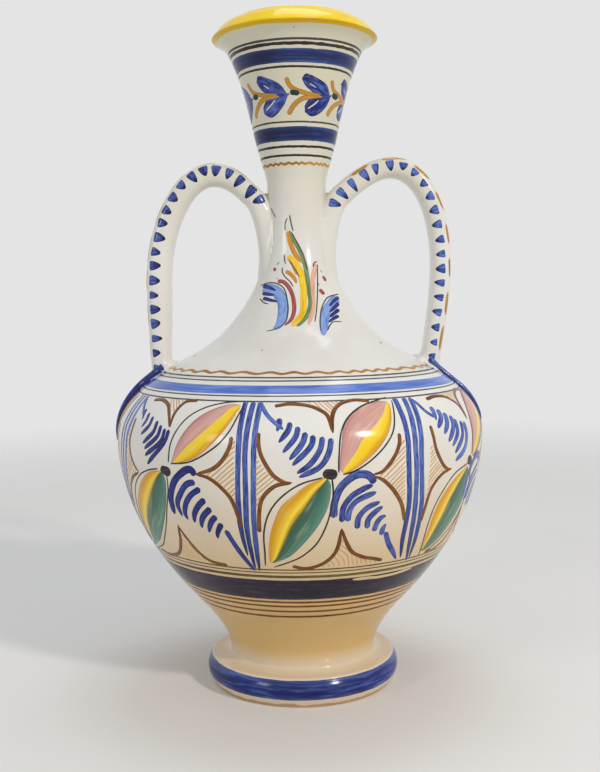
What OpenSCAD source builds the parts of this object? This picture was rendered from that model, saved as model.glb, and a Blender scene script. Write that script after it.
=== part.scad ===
// Two-handled vase of tin-glazed earthenware, thrown in sections and joined with slip.
// Frame: +Z up, origin at the middle of the base, handles along X, front towards -Y. Millimetres.

/* [Foot] */
// Height of the foot ring
foot_h = 19.5; // [12:0.5:24]
// Radius of the foot ring where it stands
foot_base_r = 61.5; // [58:0.5:68]
// Radius of the foot ring's top edge
foot_top_r = 62.5; // [58:0.5:66]
// Bulge of the foot ring's rounded side
foot_bulge = 4.5; // [1:0.5:7]
// Width of the foot ring's top rim, outside the pedestal
foot_rim_w = 3.5; // [2.5:0.5:5]
// Width of the seat inside that rim, down to the hollow under the foot
foot_seat_w = 10; // [7:0.5:13]
// Depth of the rebate that seats the pedestal in the foot ring
foot_seat_h = 6; // [4:0.5:9]
// How far the pedestal's waist draws in from the foot ring's top edge
waist_in = 12; // [9:0.5:16]
// Height of the waist above the foot ring
waist_up = 3; // [2:0.5:6]
// Height of the pedestal's joint with the bowl, above the foot ring
pedestal_h = 16; // [12:0.5:24]

/* [Bowl] */
// Height from the waist to the steepest flare of the bowl
flare_h = 46.5; // [38:0.5:56]
// Radius of the bowl at that flare
flare_r = 79; // [72:0.5:86]
// Radius gained per height at that flare
flare_slope = 0.88; // [0.6:0.02:1.1]
// Height from the flare to the widest ring of the belly
belly_h = 105.5; // [90:0.5:120]
// Radius of the belly at its widest
belly_r = 125; // [112:0.5:138]
// Thickness of the bowl's floor
floor_t = 8; // [5:0.5:14]

/* [Shoulder] */
// Height from the widest ring to the flattest part of the shoulder
shoulder_h = 52; // [46:0.5:60]
// Radius of the shoulder there
shoulder_r = 75; // [68:0.5:84]
// Radius lost per height there
shoulder_slope = 2.03; // [1.5:0.01:2.3]
// Height from the flattest part of the shoulder to the root of the neck
root_h = 29.5; // [24:0.5:36]
// Radius at the root of the neck
root_r = 40; // [36:0.5:46]
// Radius lost per height at the root of the neck
root_slope = 0.76; // [0.5:0.02:1]
// Height of the neck's joint above the root of the neck
neck_joint_up = 14; // [10:0.5:18]

/* [Neck and mouth] */
// Height from the root of the neck to its narrowest ring
neck_h = 85; // [75:0.5:100]
// Radius of the neck at its narrowest
neck_r = 20; // [18:0.5:23]
// Height from the narrowest ring to the start of the collar
throat_h = 15.5; // [10:0.5:22]
// Radius where the collar starts
throat_r = 23.5; // [22:0.5:27]
// Radius gained per height where the collar starts
throat_slope = 0.31; // [0.2:0.01:0.45]
// Height of the collar, up to the turn of the brim
collar_h = 67; // [55:0.5:80]
// Radius at the turn of the brim
collar_r = 42.5; // [38:0.5:46]
// Radius gained per height at the turn of the brim
collar_slope = 0.46; // [0.3:0.02:0.7]
// Height from the turn of the brim to its edge
brim_h = 14; // [11:0.5:18]
// Radius of the brim under its edge
brim_r = 55; // [52:0.5:58]
// Radius gained per height under the brim's edge
brim_slope = 1.98; // [1.5:0.02:2.2]
// How far the lip's sharp edge stands out past the brim
lip_edge = 0.8; // [0.4:0.1:1.6]
// Height of the lip above the brim
lip_h = 12.5; // [10:0.5:16]
// Radius of the lip's rounded crest
lip_r = 40; // [38:0.5:42]
// Radius of the rounding on that crest
lip_round = 1.6; // [1:0.1:2.2]
// Bulge of the lip's sloping face
lip_bulge = 2.6; // [0:0.1:4]
// Depth of the lip's joint below the brim's edge
lip_joint_down = 3; // [2:0.25:4.5]

/* [Handles] */
// Depth of a handle from front to back
handle_w = 22; // [18:0.5:26]
// Thickness of a handle along its root
handle_t = 15; // [13:0.5:18]
// Thickness of a handle at its foot
handle_foot_t = 13; // [10:0.5:17]
// Length of the root pressed down the neck, below the narrowest ring
root_down = 54; // [46:0.5:60]
// Drop of the bend, where a handle leaves the neck, below the narrowest ring
bend_down = 7; // [5:0.5:12]
// Distance of that bend from the neck's surface
bend_out = 10; // [8:0.5:13]
// Rise of the handle out of that bend, in degrees
bend_rise = 42; // [34:1:50]
// Distance of the left handle's crest from the neck's middle
left_crest_x = 57; // [50:0.5:64]
// Height of the left handle's crest above the narrowest ring
left_crest_up = 8; // [4:0.5:16]
// Thickness of the left handle over its crest
left_crest_t = 15.5; // [12:0.5:18]
// Distance of the left handle's side from the neck's middle
left_side_x = 95; // [90:0.5:100]
// Drop of the left handle's side below the narrowest ring
left_side_down = 66; // [54:0.5:76]
// Thickness of the left handle along its side
left_side_t = 17; // [13:0.5:20]
// Height of the left handle's foot below the flattest part of the shoulder
left_foot_down = 11; // [7:0.5:15]
// Distance of the right handle's crest from the neck's middle
right_crest_x = 64; // [56:0.5:70]
// Height of the right handle's crest above the narrowest ring
right_crest_up = 11.5; // [6:0.5:18]
// Thickness of the right handle over its crest
right_crest_t = 14; // [11:0.5:17]
// Distance of the right handle's side from the neck's middle
right_side_x = 98; // [92:0.5:104]
// Drop of the right handle's side below the narrowest ring
right_side_down = 54; // [44:0.5:66]
// Thickness of the right handle along its side
right_side_t = 14; // [11:0.5:17]
// Height of the right handle's foot below the flattest part of the shoulder
right_foot_down = 8; // [6:0.5:14]

/* [Clay and slip] */
// Thickness of the thrown wall
wall = 6; // [5:0.25:7.5]
// Thickness of the slip in every joint
slip_t = 0.6; // [0.4:0.1:1]
// Height of the step that keys two sections together
key_h = 2.5; // [1.5:0.25:3.5]

/* [Hidden] */

// Facets of the round surfaces, height step along the wall and steps of a small rounding
$fn = 96;
wall_step = 2.5;
arc_steps = 8;

// Rings between two turns of a handle, its sides, and how square its outer edges are (1 is round)
rings_per_bend = 11;
handle_sides = 18;
handle_edge = 0.7;

// How far a handle's root stands out at its lower end, and how deep its foot runs under the shoulder
root_proud = 1.5;
foot_sunk = 11;

// Pull of the curve at the bend, the crest, the side and both ends of a handle
root_pull = 17;
bend_pull = 10;
crest_in_pull = 13;
crest_out_pull = 21;
side_in_pull = 38;
side_out_pull = 26;
foot_pull = 22;

// Heights up the vase
z_waist = foot_h + waist_up;
z_flare = z_waist + flare_h;
z_belly = z_flare + belly_h;
z_shoulder = z_belly + shoulder_h;
z_root = z_shoulder + root_h;
z_throat = z_root + neck_h;
z_collar = z_throat + throat_h;
z_turn = z_collar + collar_h;
z_brim = z_turn + brim_h;
z_top = z_brim + lip_h;

// Heights of the joints between the thrown sections
z_pedestal_joint = foot_h + pedestal_h;
z_neck_joint = z_root + neck_joint_up;
z_lip_joint = z_brim - lip_joint_down;
z_floor = z_pedestal_joint + key_h + slip_t + floor_t;

// Outer wall: height, radius, and radius gained per height
waist_r = foot_top_r - waist_in;
STATIONS = [
    [z_waist, waist_r, 0],
    [z_flare, flare_r, flare_slope],
    [z_belly, belly_r, 0],
    [z_shoulder, shoulder_r, -shoulder_slope],
    [z_root, root_r, -root_slope],
    [z_throat, neck_r, 0],
    [z_collar, throat_r, throat_slope],
    [z_turn, collar_r, collar_slope],
    [z_brim, brim_r, brim_slope]
];

// Colours of the glaze and of the slip seen at the joints
glaze = "#ece7d8";
cobalt = "#3a50a8";
lemon = "#f2c81e";
slip_clay = "#c9b08c";

// Cubic through two stations, and its slope
function cubic_r(a, b, t) =
    let (h = b[0] - a[0])
    (2 * t ^ 3 - 3 * t ^ 2 + 1) * a[1] + (t ^ 3 - 2 * t ^ 2 + t) * h * a[2]
    + (3 * t ^ 2 - 2 * t ^ 3) * b[1] + (t ^ 3 - t ^ 2) * h * b[2];
function cubic_slope(a, b, t) =
    (6 * t ^ 2 - 6 * t) * (a[1] - b[1]) / (b[0] - a[0])
    + (3 * t ^ 2 - 4 * t + 1) * a[2] + (3 * t ^ 2 - 2 * t) * b[2];
function span_of(z, i = 0) =
    i >= len(STATIONS) - 2 || z < STATIONS[i + 1][0] ? i : span_of(z, i + 1);
function span_t(z, i) = (z - STATIONS[i][0]) / (STATIONS[i + 1][0] - STATIONS[i][0]);

// Radius and slope of the outer wall, and radius of the inner wall, at a height
function outer_r(z) = let (i = span_of(z)) cubic_r(STATIONS[i], STATIONS[i + 1], span_t(z, i));
function outer_slope(z) = let (i = span_of(z)) cubic_slope(STATIONS[i], STATIONS[i + 1], span_t(z, i));
function lean(z) = sqrt(1 + outer_slope(z) ^ 2);
function inner_r(z) = outer_r(z) - wall * lean(z);
function middle_r(z) = (outer_r(z) + inner_r(z)) / 2;

// Heights from lo to hi in even steps, and the two walls between them
function heights(lo, hi) = let (n = ceil((hi - lo) / wall_step)) [for (i = [0:n]) lo + (hi - lo) * i / n];
function outer_wall(lo, hi, grow = 0) = [for (z = heights(lo, hi)) [outer_r(z) + grow * lean(z), z]];
function inner_wall(lo, hi) = [for (z = heights(lo, hi)) [inner_r(z), z]];
function reversed(list) = [for (i = [len(list) - 1:-1:0]) list[i]];

// Key at a joint: the lower section's inner half stands up as a tongue, and the upper section laps over it
function tongue(z) = [[middle_r(z), z], [middle_r(z), z + key_h], [inner_r(z + key_h), z + key_h]];
function groove(z) =
    let (step = z + key_h + slip_t, r = middle_r(z) + slip_t)
    [[inner_r(step), step], [r, step], [r, z + slip_t]];

// One thrown section between the joints at lo and hi
module thrown_section(lo, hi) {
    rotate_extrude()
        polygon(concat(
            groove(lo),
            outer_wall(lo + slip_t, hi),
            tongue(hi),
            reversed(inner_wall(lo + key_h + slip_t + wall_step, hi + key_h - wall_step))
        ));
}

// The ring of slip that fills one keyed joint
module slip_ring(z) {
    rotate_extrude()
        polygon(concat([[outer_r(z), z]], tongue(z), groove(z), [[outer_r(z + slip_t), z + slip_t]]));
}

// Rounded side of the foot ring
function foot_side_r(z) =
    let (t = z / foot_h)
    foot_base_r + (foot_top_r - foot_base_r) * t + foot_bulge * 4 * t * (1 - t);

// Seat of the pedestal in the foot ring, and radius of the hollow under it
seat_r = foot_top_r - foot_rim_w;
seat_z = foot_h - foot_seat_h;
foot_bore_r = seat_r - foot_seat_w;

module foot_ring() {
    color(cobalt)
        rotate_extrude()
            polygon(concat(
                [for (i = [0:arc_steps]) let (z = foot_h * i / arc_steps) [foot_side_r(z), z]],
                [[seat_r, foot_h], [seat_r, seat_z], [foot_bore_r, seat_z], [foot_bore_r, 0]]
            ));
}

module foot_ring_slip() {
    color(slip_clay)
        rotate_extrude()
            polygon([
                [foot_bore_r, seat_z], [seat_r, seat_z], [seat_r, foot_h],
                [seat_r - slip_t, foot_h], [seat_r - slip_t, seat_z + slip_t],
                [foot_bore_r, seat_z + slip_t]
            ]);
}

// Hollow cove from the foot's ledge up to the waist
function cove(i) =
    let (a = 90 * i / arc_steps, reach = seat_r - slip_t - waist_r)
    [waist_r + reach * (1 - sin(a)), foot_h + waist_up * (1 - cos(a))];

module foot_pedestal() {
    color(glaze)
        rotate_extrude()
            polygon(concat(
                [[foot_bore_r, seat_z + slip_t], [seat_r - slip_t, seat_z + slip_t]],
                [for (i = [0:arc_steps - 1]) cove(i)],
                outer_wall(z_waist, z_pedestal_joint),
                tongue(z_pedestal_joint),
                reversed(inner_wall(z_waist, z_pedestal_joint))
            ));
}

module pedestal_slip() {
    color(slip_clay) slip_ring(z_pedestal_joint);
}

module lower_bowl() {
    bed_z = z_pedestal_joint + key_h + slip_t;
    bed_r = middle_r(z_pedestal_joint) + slip_t;
    color(glaze)
        rotate_extrude()
            polygon(concat(
                [[0, bed_z], [bed_r, bed_z], [bed_r, z_pedestal_joint + slip_t]],
                outer_wall(z_pedestal_joint + slip_t, z_belly),
                tongue(z_belly),
                reversed(inner_wall(z_floor, z_belly)),
                [[0, z_floor]]
            ));
}

module belly_slip() {
    color(slip_clay) slip_ring(z_belly);
}

module shoulder() {
    color(glaze) thrown_section(z_belly, z_neck_joint);
}

module neck_slip() {
    color(slip_clay) slip_ring(z_neck_joint);
}

module neck() {
    color(glaze) thrown_section(z_neck_joint, z_collar);
}

module collar_slip() {
    color(slip_clay) slip_ring(z_collar);
}

module mouth_collar() {
    color(glaze) thrown_section(z_collar, z_lip_joint);
}

module lip_slip() {
    color(slip_clay) slip_ring(z_lip_joint);
}

// Sloping face of the lip from its sharp edge to the crest, and the rounded crest
lip_edge_r = brim_r + lip_edge;
crest_z = z_top - lip_round;
function lip_face(i) =
    let (
        t = i / arc_steps,
        start = [lip_edge_r, z_brim + lip_edge / brim_slope],
        end = [lip_r + lip_round, crest_z]
    )
    start + (end - start) * t + [0, lip_bulge * 4 * t * (1 - t)];
function lip_crest(i) =
    let (a = 180 * i / arc_steps)
    [lip_r + lip_round * cos(a), crest_z + lip_round * sin(a)];

module rim_lip() {
    color(lemon)
        rotate_extrude()
            polygon(concat(
                groove(z_lip_joint),
                outer_wall(z_lip_joint + slip_t, z_brim),
                [for (i = [0:arc_steps - 1]) lip_face(i)],
                [for (i = [0:arc_steps]) lip_crest(i)]
            ));
}

// Route of a handle: place, direction, pull before and after, and thickness at each turn
function handle_route(crest_x, crest_up, crest_t, side_x, side_down, side_t, foot_down) =
    let (
        root_z = z_throat - root_down,
        bend_z = z_throat - bend_down,
        rise = [cos(bend_rise), sin(bend_rise)],
        foot_z = z_shoulder - foot_down,
        foot_x = outer_r(foot_z),
        side = [side_x, z_throat - side_down],
        lean_in = (foot_x - side_x) / (side[1] - foot_z),
        foot = [foot_x + lean_in * foot_sunk, foot_z - foot_sunk]
    )
    [
        [[outer_r(root_z) - handle_t / 2 + root_proud, root_z], [0, 1], root_pull, root_pull, handle_t],
        [[outer_r(bend_z) + bend_out, bend_z], rise, bend_pull, bend_pull, handle_t],
        [[crest_x, z_throat + crest_up], [1, 0], crest_in_pull, crest_out_pull, crest_t],
        [side, [0, -1], side_in_pull, side_out_pull, side_t],
        [foot, (foot - side) / norm(foot - side), foot_pull, foot_pull, handle_foot_t]
    ];

// Point, direction and thickness along a route at turn i plus share t
function bend_points(a, b) = [a[0], a[0] + a[3] * a[1], b[0] - b[2] * b[1], b[0]];
function bend_at(p, t) =
    (1 - t) ^ 3 * p[0] + 3 * t * (1 - t) ^ 2 * p[1] + 3 * t ^ 2 * (1 - t) * p[2] + t ^ 3 * p[3];
function bend_dir(p, t) =
    let (d = (1 - t) ^ 2 * (p[1] - p[0]) + 2 * t * (1 - t) * (p[2] - p[1]) + t ^ 2 * (p[3] - p[2]))
    d / norm(d);
function ease(t) = t * t * (3 - 2 * t);

// Outline of a handle across its route: flat and wide outside, round towards the loop
function rounded(v, power) = sign(v) * abs(v) ^ power;
function handle_outline(thickness) = [
    for (k = [0:handle_sides - 1])
        let (a = 360 * (k + 1 / 2) / handle_sides, s = sin(a), c = cos(a))
        [handle_w / 2 * rounded(c, handle_edge), thickness / 2 * (s > 0 ? rounded(s, handle_edge) : s)]
];

function handle_ring(route, i, t) =
    let (
        a = route[i],
        b = route[i + 1],
        p = bend_points(a, b),
        at = bend_at(p, t),
        dir = bend_dir(p, t),
        thickness = a[4] + (b[4] - a[4]) * ease(t)
    )
    [for (q = handle_outline(thickness)) [at[0] - dir[1] * q[1], q[0], at[1] + dir[0] * q[1]]];

function handle_rings(route) = concat(
    [for (i = [0:len(route) - 2], j = [0:rings_per_bend - 1]) handle_ring(route, i, j / rings_per_bend)],
    [handle_ring(route, len(route) - 2, 1)]
);

// Solid swept along a route, still running into the neck and the shoulder at its ends
module handle_sweep(route) {
    rings = handle_rings(route);
    n = handle_sides;
    last = (len(rings) - 1) * n;
    sides = [
        for (i = [0:len(rings) - 2], k = [0:n - 1], half = [0, 1])
            let (m = (k + 1) % n, lo = i * n, hi = lo + n)
            half == 0 ? [lo + k, lo + m, hi + m] : [lo + k, hi + m, hi + k]
    ];
    ends = [for (k = [1:n - 2], half = [0, 1]) half == 0 ? [0, k + 1, k] : [last, last + k, last + k + 1]];
    polyhedron(points = [for (ring = rings, p = ring) p], faces = concat(sides, ends));
}

// Everything inside the outer wall, grown by a margin, from the belly to the collar
module core(grow) {
    rotate_extrude()
        polygon(concat([[0, z_belly]], outer_wall(z_belly, z_collar, grow), [[0, z_collar]]));
}

// The lower and the upper half of the space a handle spans
module below_loop() {
    translate([-belly_r, -belly_r, z_belly]) cube([2 * belly_r, 2 * belly_r, z_root - z_belly]);
}
module above_loop() {
    translate([-belly_r, -belly_r, z_root]) cube([2 * belly_r, 2 * belly_r, z_collar - z_root]);
}

module handle(route) {
    difference() {
        handle_sweep(route);
        core(slip_t);
    }
}

// Slip between a handle and the wall it is pressed on
module handle_slip(route) {
    difference() {
        intersection() {
            handle_sweep(route);
            core(slip_t);
            children();
        }
        core(0);
    }
}

left_route = handle_route(left_crest_x, left_crest_up, left_crest_t,
                          left_side_x, left_side_down, left_side_t, left_foot_down);
right_route = handle_route(right_crest_x, right_crest_up, right_crest_t,
                           right_side_x, right_side_down, right_side_t, right_foot_down);

module left_handle() {
    color(glaze) mirror([1, 0, 0]) handle(left_route);
}
module left_root_slip() {
    color(slip_clay) mirror([1, 0, 0]) handle_slip(left_route) above_loop();
}
module left_foot_slip() {
    color(slip_clay) mirror([1, 0, 0]) handle_slip(left_route) below_loop();
}
module right_handle() {
    color(glaze) handle(right_route);
}
module right_root_slip() {
    color(slip_clay) handle_slip(right_route) above_loop();
}
module right_foot_slip() {
    color(slip_clay) handle_slip(right_route) below_loop();
}

foot_ring();
foot_ring_slip();
foot_pedestal();
pedestal_slip();
lower_bowl();
belly_slip();
shoulder();
neck_slip();
neck();
collar_slip();
mouth_collar();
lip_slip();
rim_lip();
left_handle();
left_root_slip();
left_foot_slip();
right_handle();
right_root_slip();
right_foot_slip();
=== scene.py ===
"""Two-handled vase of tin-glazed earthenware, thrown in sections and painted by hand.

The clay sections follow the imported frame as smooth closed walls, the handles are drawn along their routes and
eased into the wall, and every brush mark is a thin closed skin that lies on the glaze. Sizes below are in
millimetres, and angles are degrees round the vase from its front, positive towards its right-hand handle.
"""

import logging
import math
import random
from collections.abc import Sequence
from dataclasses import dataclass, field, replace
from enum import Enum
from typing import Any

import bmesh
import bpy
import numpy as np
from mathutils import Matrix, Vector


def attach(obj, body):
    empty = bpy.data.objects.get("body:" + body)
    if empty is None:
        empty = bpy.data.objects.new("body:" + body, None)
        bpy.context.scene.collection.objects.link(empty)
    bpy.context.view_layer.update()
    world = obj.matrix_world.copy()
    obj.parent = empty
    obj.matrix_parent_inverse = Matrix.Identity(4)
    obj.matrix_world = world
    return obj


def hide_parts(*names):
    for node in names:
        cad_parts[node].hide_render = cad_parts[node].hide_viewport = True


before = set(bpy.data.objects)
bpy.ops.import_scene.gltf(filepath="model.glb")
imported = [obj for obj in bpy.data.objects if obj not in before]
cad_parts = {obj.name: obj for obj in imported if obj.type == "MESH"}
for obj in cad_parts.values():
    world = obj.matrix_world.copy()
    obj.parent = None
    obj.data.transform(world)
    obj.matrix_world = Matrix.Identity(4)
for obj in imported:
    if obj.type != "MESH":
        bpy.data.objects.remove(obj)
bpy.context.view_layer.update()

MM = 0.001
SEED = 417
BODY = "root"
LOG = logging.getLogger("vase")

Pair = tuple[float, float]
Path = tuple[Pair, ...]
Place = tuple[float, float, float]
Colour = tuple[float, float, float]
Mesh = bpy.types.Mesh
Object = bpy.types.Object
Socket = bpy.types.NodeSocket


def linear(colour: Colour) -> tuple[float, float, float, float]:
    """Linear light of a colour whose red, green and blue run from 0 to 255."""
    shares = [part / 255 for part in colour]
    return (*[s / 12.92 if s <= 0.04045 else ((s + 0.055) / 1.055) ** 2.4 for s in shares], 1.0)


class NodeMaker:
    """Adds nodes to one tree and joins them."""

    def __init__(self, tree: bpy.types.NodeTree) -> None:
        """Keeps the tree that the nodes go into."""
        self.tree = tree

    def feed(self, socket: Socket, value: Any) -> None:
        """Links an output into an input, or sets the input to a plain value.

        Args:
            socket: The input.
            value: The output or the plain value.
        """
        if isinstance(value, Socket):
            self.tree.links.new(value, socket)
        else:
            socket.default_value = value

    def add(self, kind: str, inputs: dict[str | int, Any] | None = None, **settings: Any) -> bpy.types.Node:
        """Adds one node.

        Args:
            kind: Blender's name for the node type.
            inputs: Values or outputs for its inputs, by name or number.
            settings: The node's own properties, which are set first.

        Returns:
            The new node.
        """
        node = self.tree.nodes.new(kind)
        for name, value in settings.items():
            setattr(node, name, value)
        for key, value in (inputs or {}).items():
            self.feed(node.inputs[key], value)
        return node

    def math(self, operation: str, *values: Any) -> Socket:
        """Result of a sum on numbers."""
        return self.add("ShaderNodeMath", dict(enumerate(values)), operation=operation).outputs[0]

    def times(self, first: Any, second: Any) -> Socket:
        """Product of two numbers."""
        return self.math("MULTIPLY", first, second)

    def plus(self, first: Any, second: Any) -> Socket:
        """Sum of two numbers."""
        return self.math("ADD", first, second)

    def minus(self, first: Any, second: Any) -> Socket:
        """Difference of two numbers."""
        return self.math("SUBTRACT", first, second)

    def vector(self, operation: str, *values: Any) -> Socket:
        """Result of a sum on vectors."""
        node = self.add("ShaderNodeVectorMath", dict(enumerate(values)), operation=operation)
        return node.outputs["Vector"]

    def scaled(self, vector: Any, scale: Any) -> Socket:
        """A vector times a number."""
        node = self.add("ShaderNodeVectorMath", {0: vector, "Scale": scale}, operation="SCALE")
        return node.outputs["Vector"]

    def combine(self, x: Any, y: Any, z: Any) -> Socket:
        """A vector of three numbers."""
        return self.add("ShaderNodeCombineXYZ", {0: x, 1: y, 2: z}).outputs[0]

    def separate(self, vector: Any) -> Sequence[Socket]:
        """The three numbers of a vector."""
        return self.add("ShaderNodeSeparateXYZ", {0: vector}).outputs

    def spread(self, value: Any, low: float, high: float, start: float = 0.0, end: float = 1.0) -> Socket:
        """A value eased from start to end while it goes from low to high."""
        inputs = {"Value": value, "From Min": low, "From Max": high, "To Min": start, "To Max": end}
        return self.add("ShaderNodeMapRange", inputs, interpolation_type="SMOOTHSTEP").outputs[0]

    def noise(self, vector: Any, scale: float, detail: float = 2.0, seed: Any = 0.0) -> Socket:
        """Smooth random value about one half at a place."""
        inputs = {"Vector": vector, "W": seed, "Scale": scale, "Detail": detail}
        return self.add("ShaderNodeTexNoise", inputs, noise_dimensions="4D").outputs["Fac"]

    def blend(self, share: Any, first: Any, second: Any) -> Socket:
        """Colour that goes from first to second, outputs or plain colours, as share goes from 0 to 1."""
        ends = {6 + k: c if isinstance(c, Socket) else linear(c) for k, c in enumerate((first, second))}
        return self.add("ShaderNodeMix", {0: share, **ends}, data_type="RGBA").outputs[2]

    def attribute(self, name: str) -> Socket:
        """A named number kept on the mesh."""
        return self.add("ShaderNodeAttribute", attribute_name=name).outputs["Fac"]

    def along(self, scales: Place) -> Socket:
        """A brush mark's run, share across and tone as a vector, each times its scale."""
        mark = self.combine(*(self.attribute(name) for name in ("run", "across", "tone")))
        return self.vector("MULTIPLY", mark, scales)

    def places(self) -> Socket:
        """Place on the piece, in its own frame."""
        return self.add("ShaderNodeTexCoord").outputs["Object"]


@dataclass(frozen=True)
class Finish:
    """A fired surface: its colour, its relief and its shine."""

    name: str
    roughness: float = 0.15
    shine: float = 0.32

    def colour(self, nodes: NodeMaker) -> Socket:
        """Colour of the surface, given by each kind of finish."""
        raise NotImplementedError

    def relief(self, nodes: NodeMaker) -> tuple[Socket, float] | None:
        """Height of the fine relief and how deep it is in metres, if the finish has one."""
        return None

    def cover(self, nodes: NodeMaker) -> Socket | None:
        """How much of what lies behind is hidden, if it isn't all of it."""
        return None

    def material(self) -> bpy.types.Material:
        """The finish as a material, made once.

        Returns:
            The material.
        """
        found = bpy.data.materials.get(self.name)
        if found:
            return found
        made = bpy.data.materials.new(self.name)
        made.use_nodes = True
        made.node_tree.nodes.clear()
        nodes = NodeMaker(made.node_tree)
        surface = {"Base Color": self.colour(nodes), "Roughness": self.roughness, "IOR": 1.5,
                   "Specular IOR Level": self.shine}
        shader = nodes.add("ShaderNodeBsdfPrincipled", surface)
        relief = self.relief(nodes)
        if relief:
            height, depth = relief
            bump = nodes.add("ShaderNodeBump", {"Height": height, "Distance": depth, "Strength": 1.0})
            nodes.feed(shader.inputs["Normal"], bump.outputs[0])
        cover = self.cover(nodes)
        if cover is not None:
            nodes.feed(shader.inputs["Alpha"], cover)
        nodes.add("ShaderNodeOutputMaterial", {"Surface": shader.outputs[0]})
        return made


@dataclass(frozen=True)
class TinGlaze(Finish):
    """Cream tin glaze with pinholes and bare clay at the foot's edge, warmer low on the vase partly from its
    own tone and partly from painted warm bounce light, and with painted shade on the neck and collar.
    """

    body: Colour = (233, 231, 225)
    cloud: Colour = (226, 222, 212)
    # Warm tone low on the vase: partly the glaze's own, partly painted warm bounce light from below.
    warm_tone_and_bounce: Colour = (214, 172, 88)
    # Painted warm shade on the neck and collar, mixed into the cream upwards.
    cream: Colour = (204, 196, 158)
    pinhole: Colour = (120, 92, 66)
    clay: Colour = (190, 152, 110)
    cloud_share: float = 0.55
    # Heights where the warm tone and painted bounce light start and become full, and their share.
    warm_from: float = 195.0
    warm_to: float = 62.0
    warm_share: float = 0.85
    # The foot ring, lit from above, keeps only part of the warm tone and painted bounce light.
    foot_from: float = 36.0
    foot_to: float = 21.0
    foot_share: float = 0.5
    # Heights where the painted shade on the neck and collar starts and becomes full, and its share.
    upper_shade_from: float = 265.0
    upper_shade_to: float = 420.0
    upper_shade_share: float = 0.62
    bare_below: float = 2.4
    bare_soft: float = 0.3
    bare_ragged: float = 5.0
    depth: float = 0.12

    def colour(self, nodes: NodeMaker) -> Socket:
        """Clouded cream, warmer downwards partly from its own tone and partly from painted bounce light, with
        painted shade on the neck and collar, pinholes and a bare foot edge.

        Args:
            nodes: Maker of the material's nodes.

        Returns:
            The colour.
        """
        places = nodes.places()
        height = nodes.separate(places)[2]
        clouds = nodes.spread(nodes.noise(places, 30, 4), 0.36, 0.66, 0.0, self.cloud_share)
        # Painted shade on the neck and collar, growing upwards.
        high = nodes.spread(height, self.upper_shade_from * MM, self.upper_shade_to * MM, 0.0, self.upper_shade_share)
        # Warm tone low down, partly glaze and partly painted bounce light, eased off on the foot ring.
        low = nodes.spread(height, self.warm_from * MM, self.warm_to * MM, 0.0, self.warm_share)
        foot = nodes.spread(height, self.foot_from * MM, self.foot_to * MM, 1.0, self.foot_share)
        # Cream glaze with the painted shade on the neck and collar mixed in.
        cream = nodes.blend(high, nodes.blend(clouds, self.body, self.cloud), self.cream)
        warm_tone_and_bounce = nodes.blend(nodes.times(low, foot), cream, self.warm_tone_and_bounce)
        cells = nodes.add("ShaderNodeTexVoronoi", {"Vector": places, "Scale": 95.0})
        pits = nodes.spread(cells.outputs["Distance"], 0.07, 0.03)
        chosen = nodes.spread(nodes.separate(cells.outputs["Color"])[0], 0.93, 0.95)
        pitted = nodes.blend(nodes.times(pits, chosen), warm_tone_and_bounce, self.pinhole)
        ragged = nodes.minus(nodes.noise(places, 120, 3), 0.5)
        edge = nodes.plus(height, nodes.times(ragged, self.bare_ragged * MM))
        top, end = self.bare_below + self.bare_soft, self.bare_below - self.bare_soft
        return nodes.blend(nodes.spread(edge, top * MM, end * MM), pitted, self.clay)

    def relief(self, nodes: NodeMaker) -> tuple[Socket, float]:
        """Faint rings left by the wheel, and the glaze's own slow waves.

        Args:
            nodes: Maker of the material's nodes.

        Returns:
            The relief's height, and its depth in metres.
        """
        rings = nodes.noise(nodes.vector("MULTIPLY", nodes.places(), (5, 5, 170)), 1.0, 2)
        waves = nodes.noise(nodes.places(), 140, 2, 3.0)
        return nodes.plus(nodes.times(rings, 0.6), nodes.times(waves, 0.4)), self.depth * MM


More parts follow.
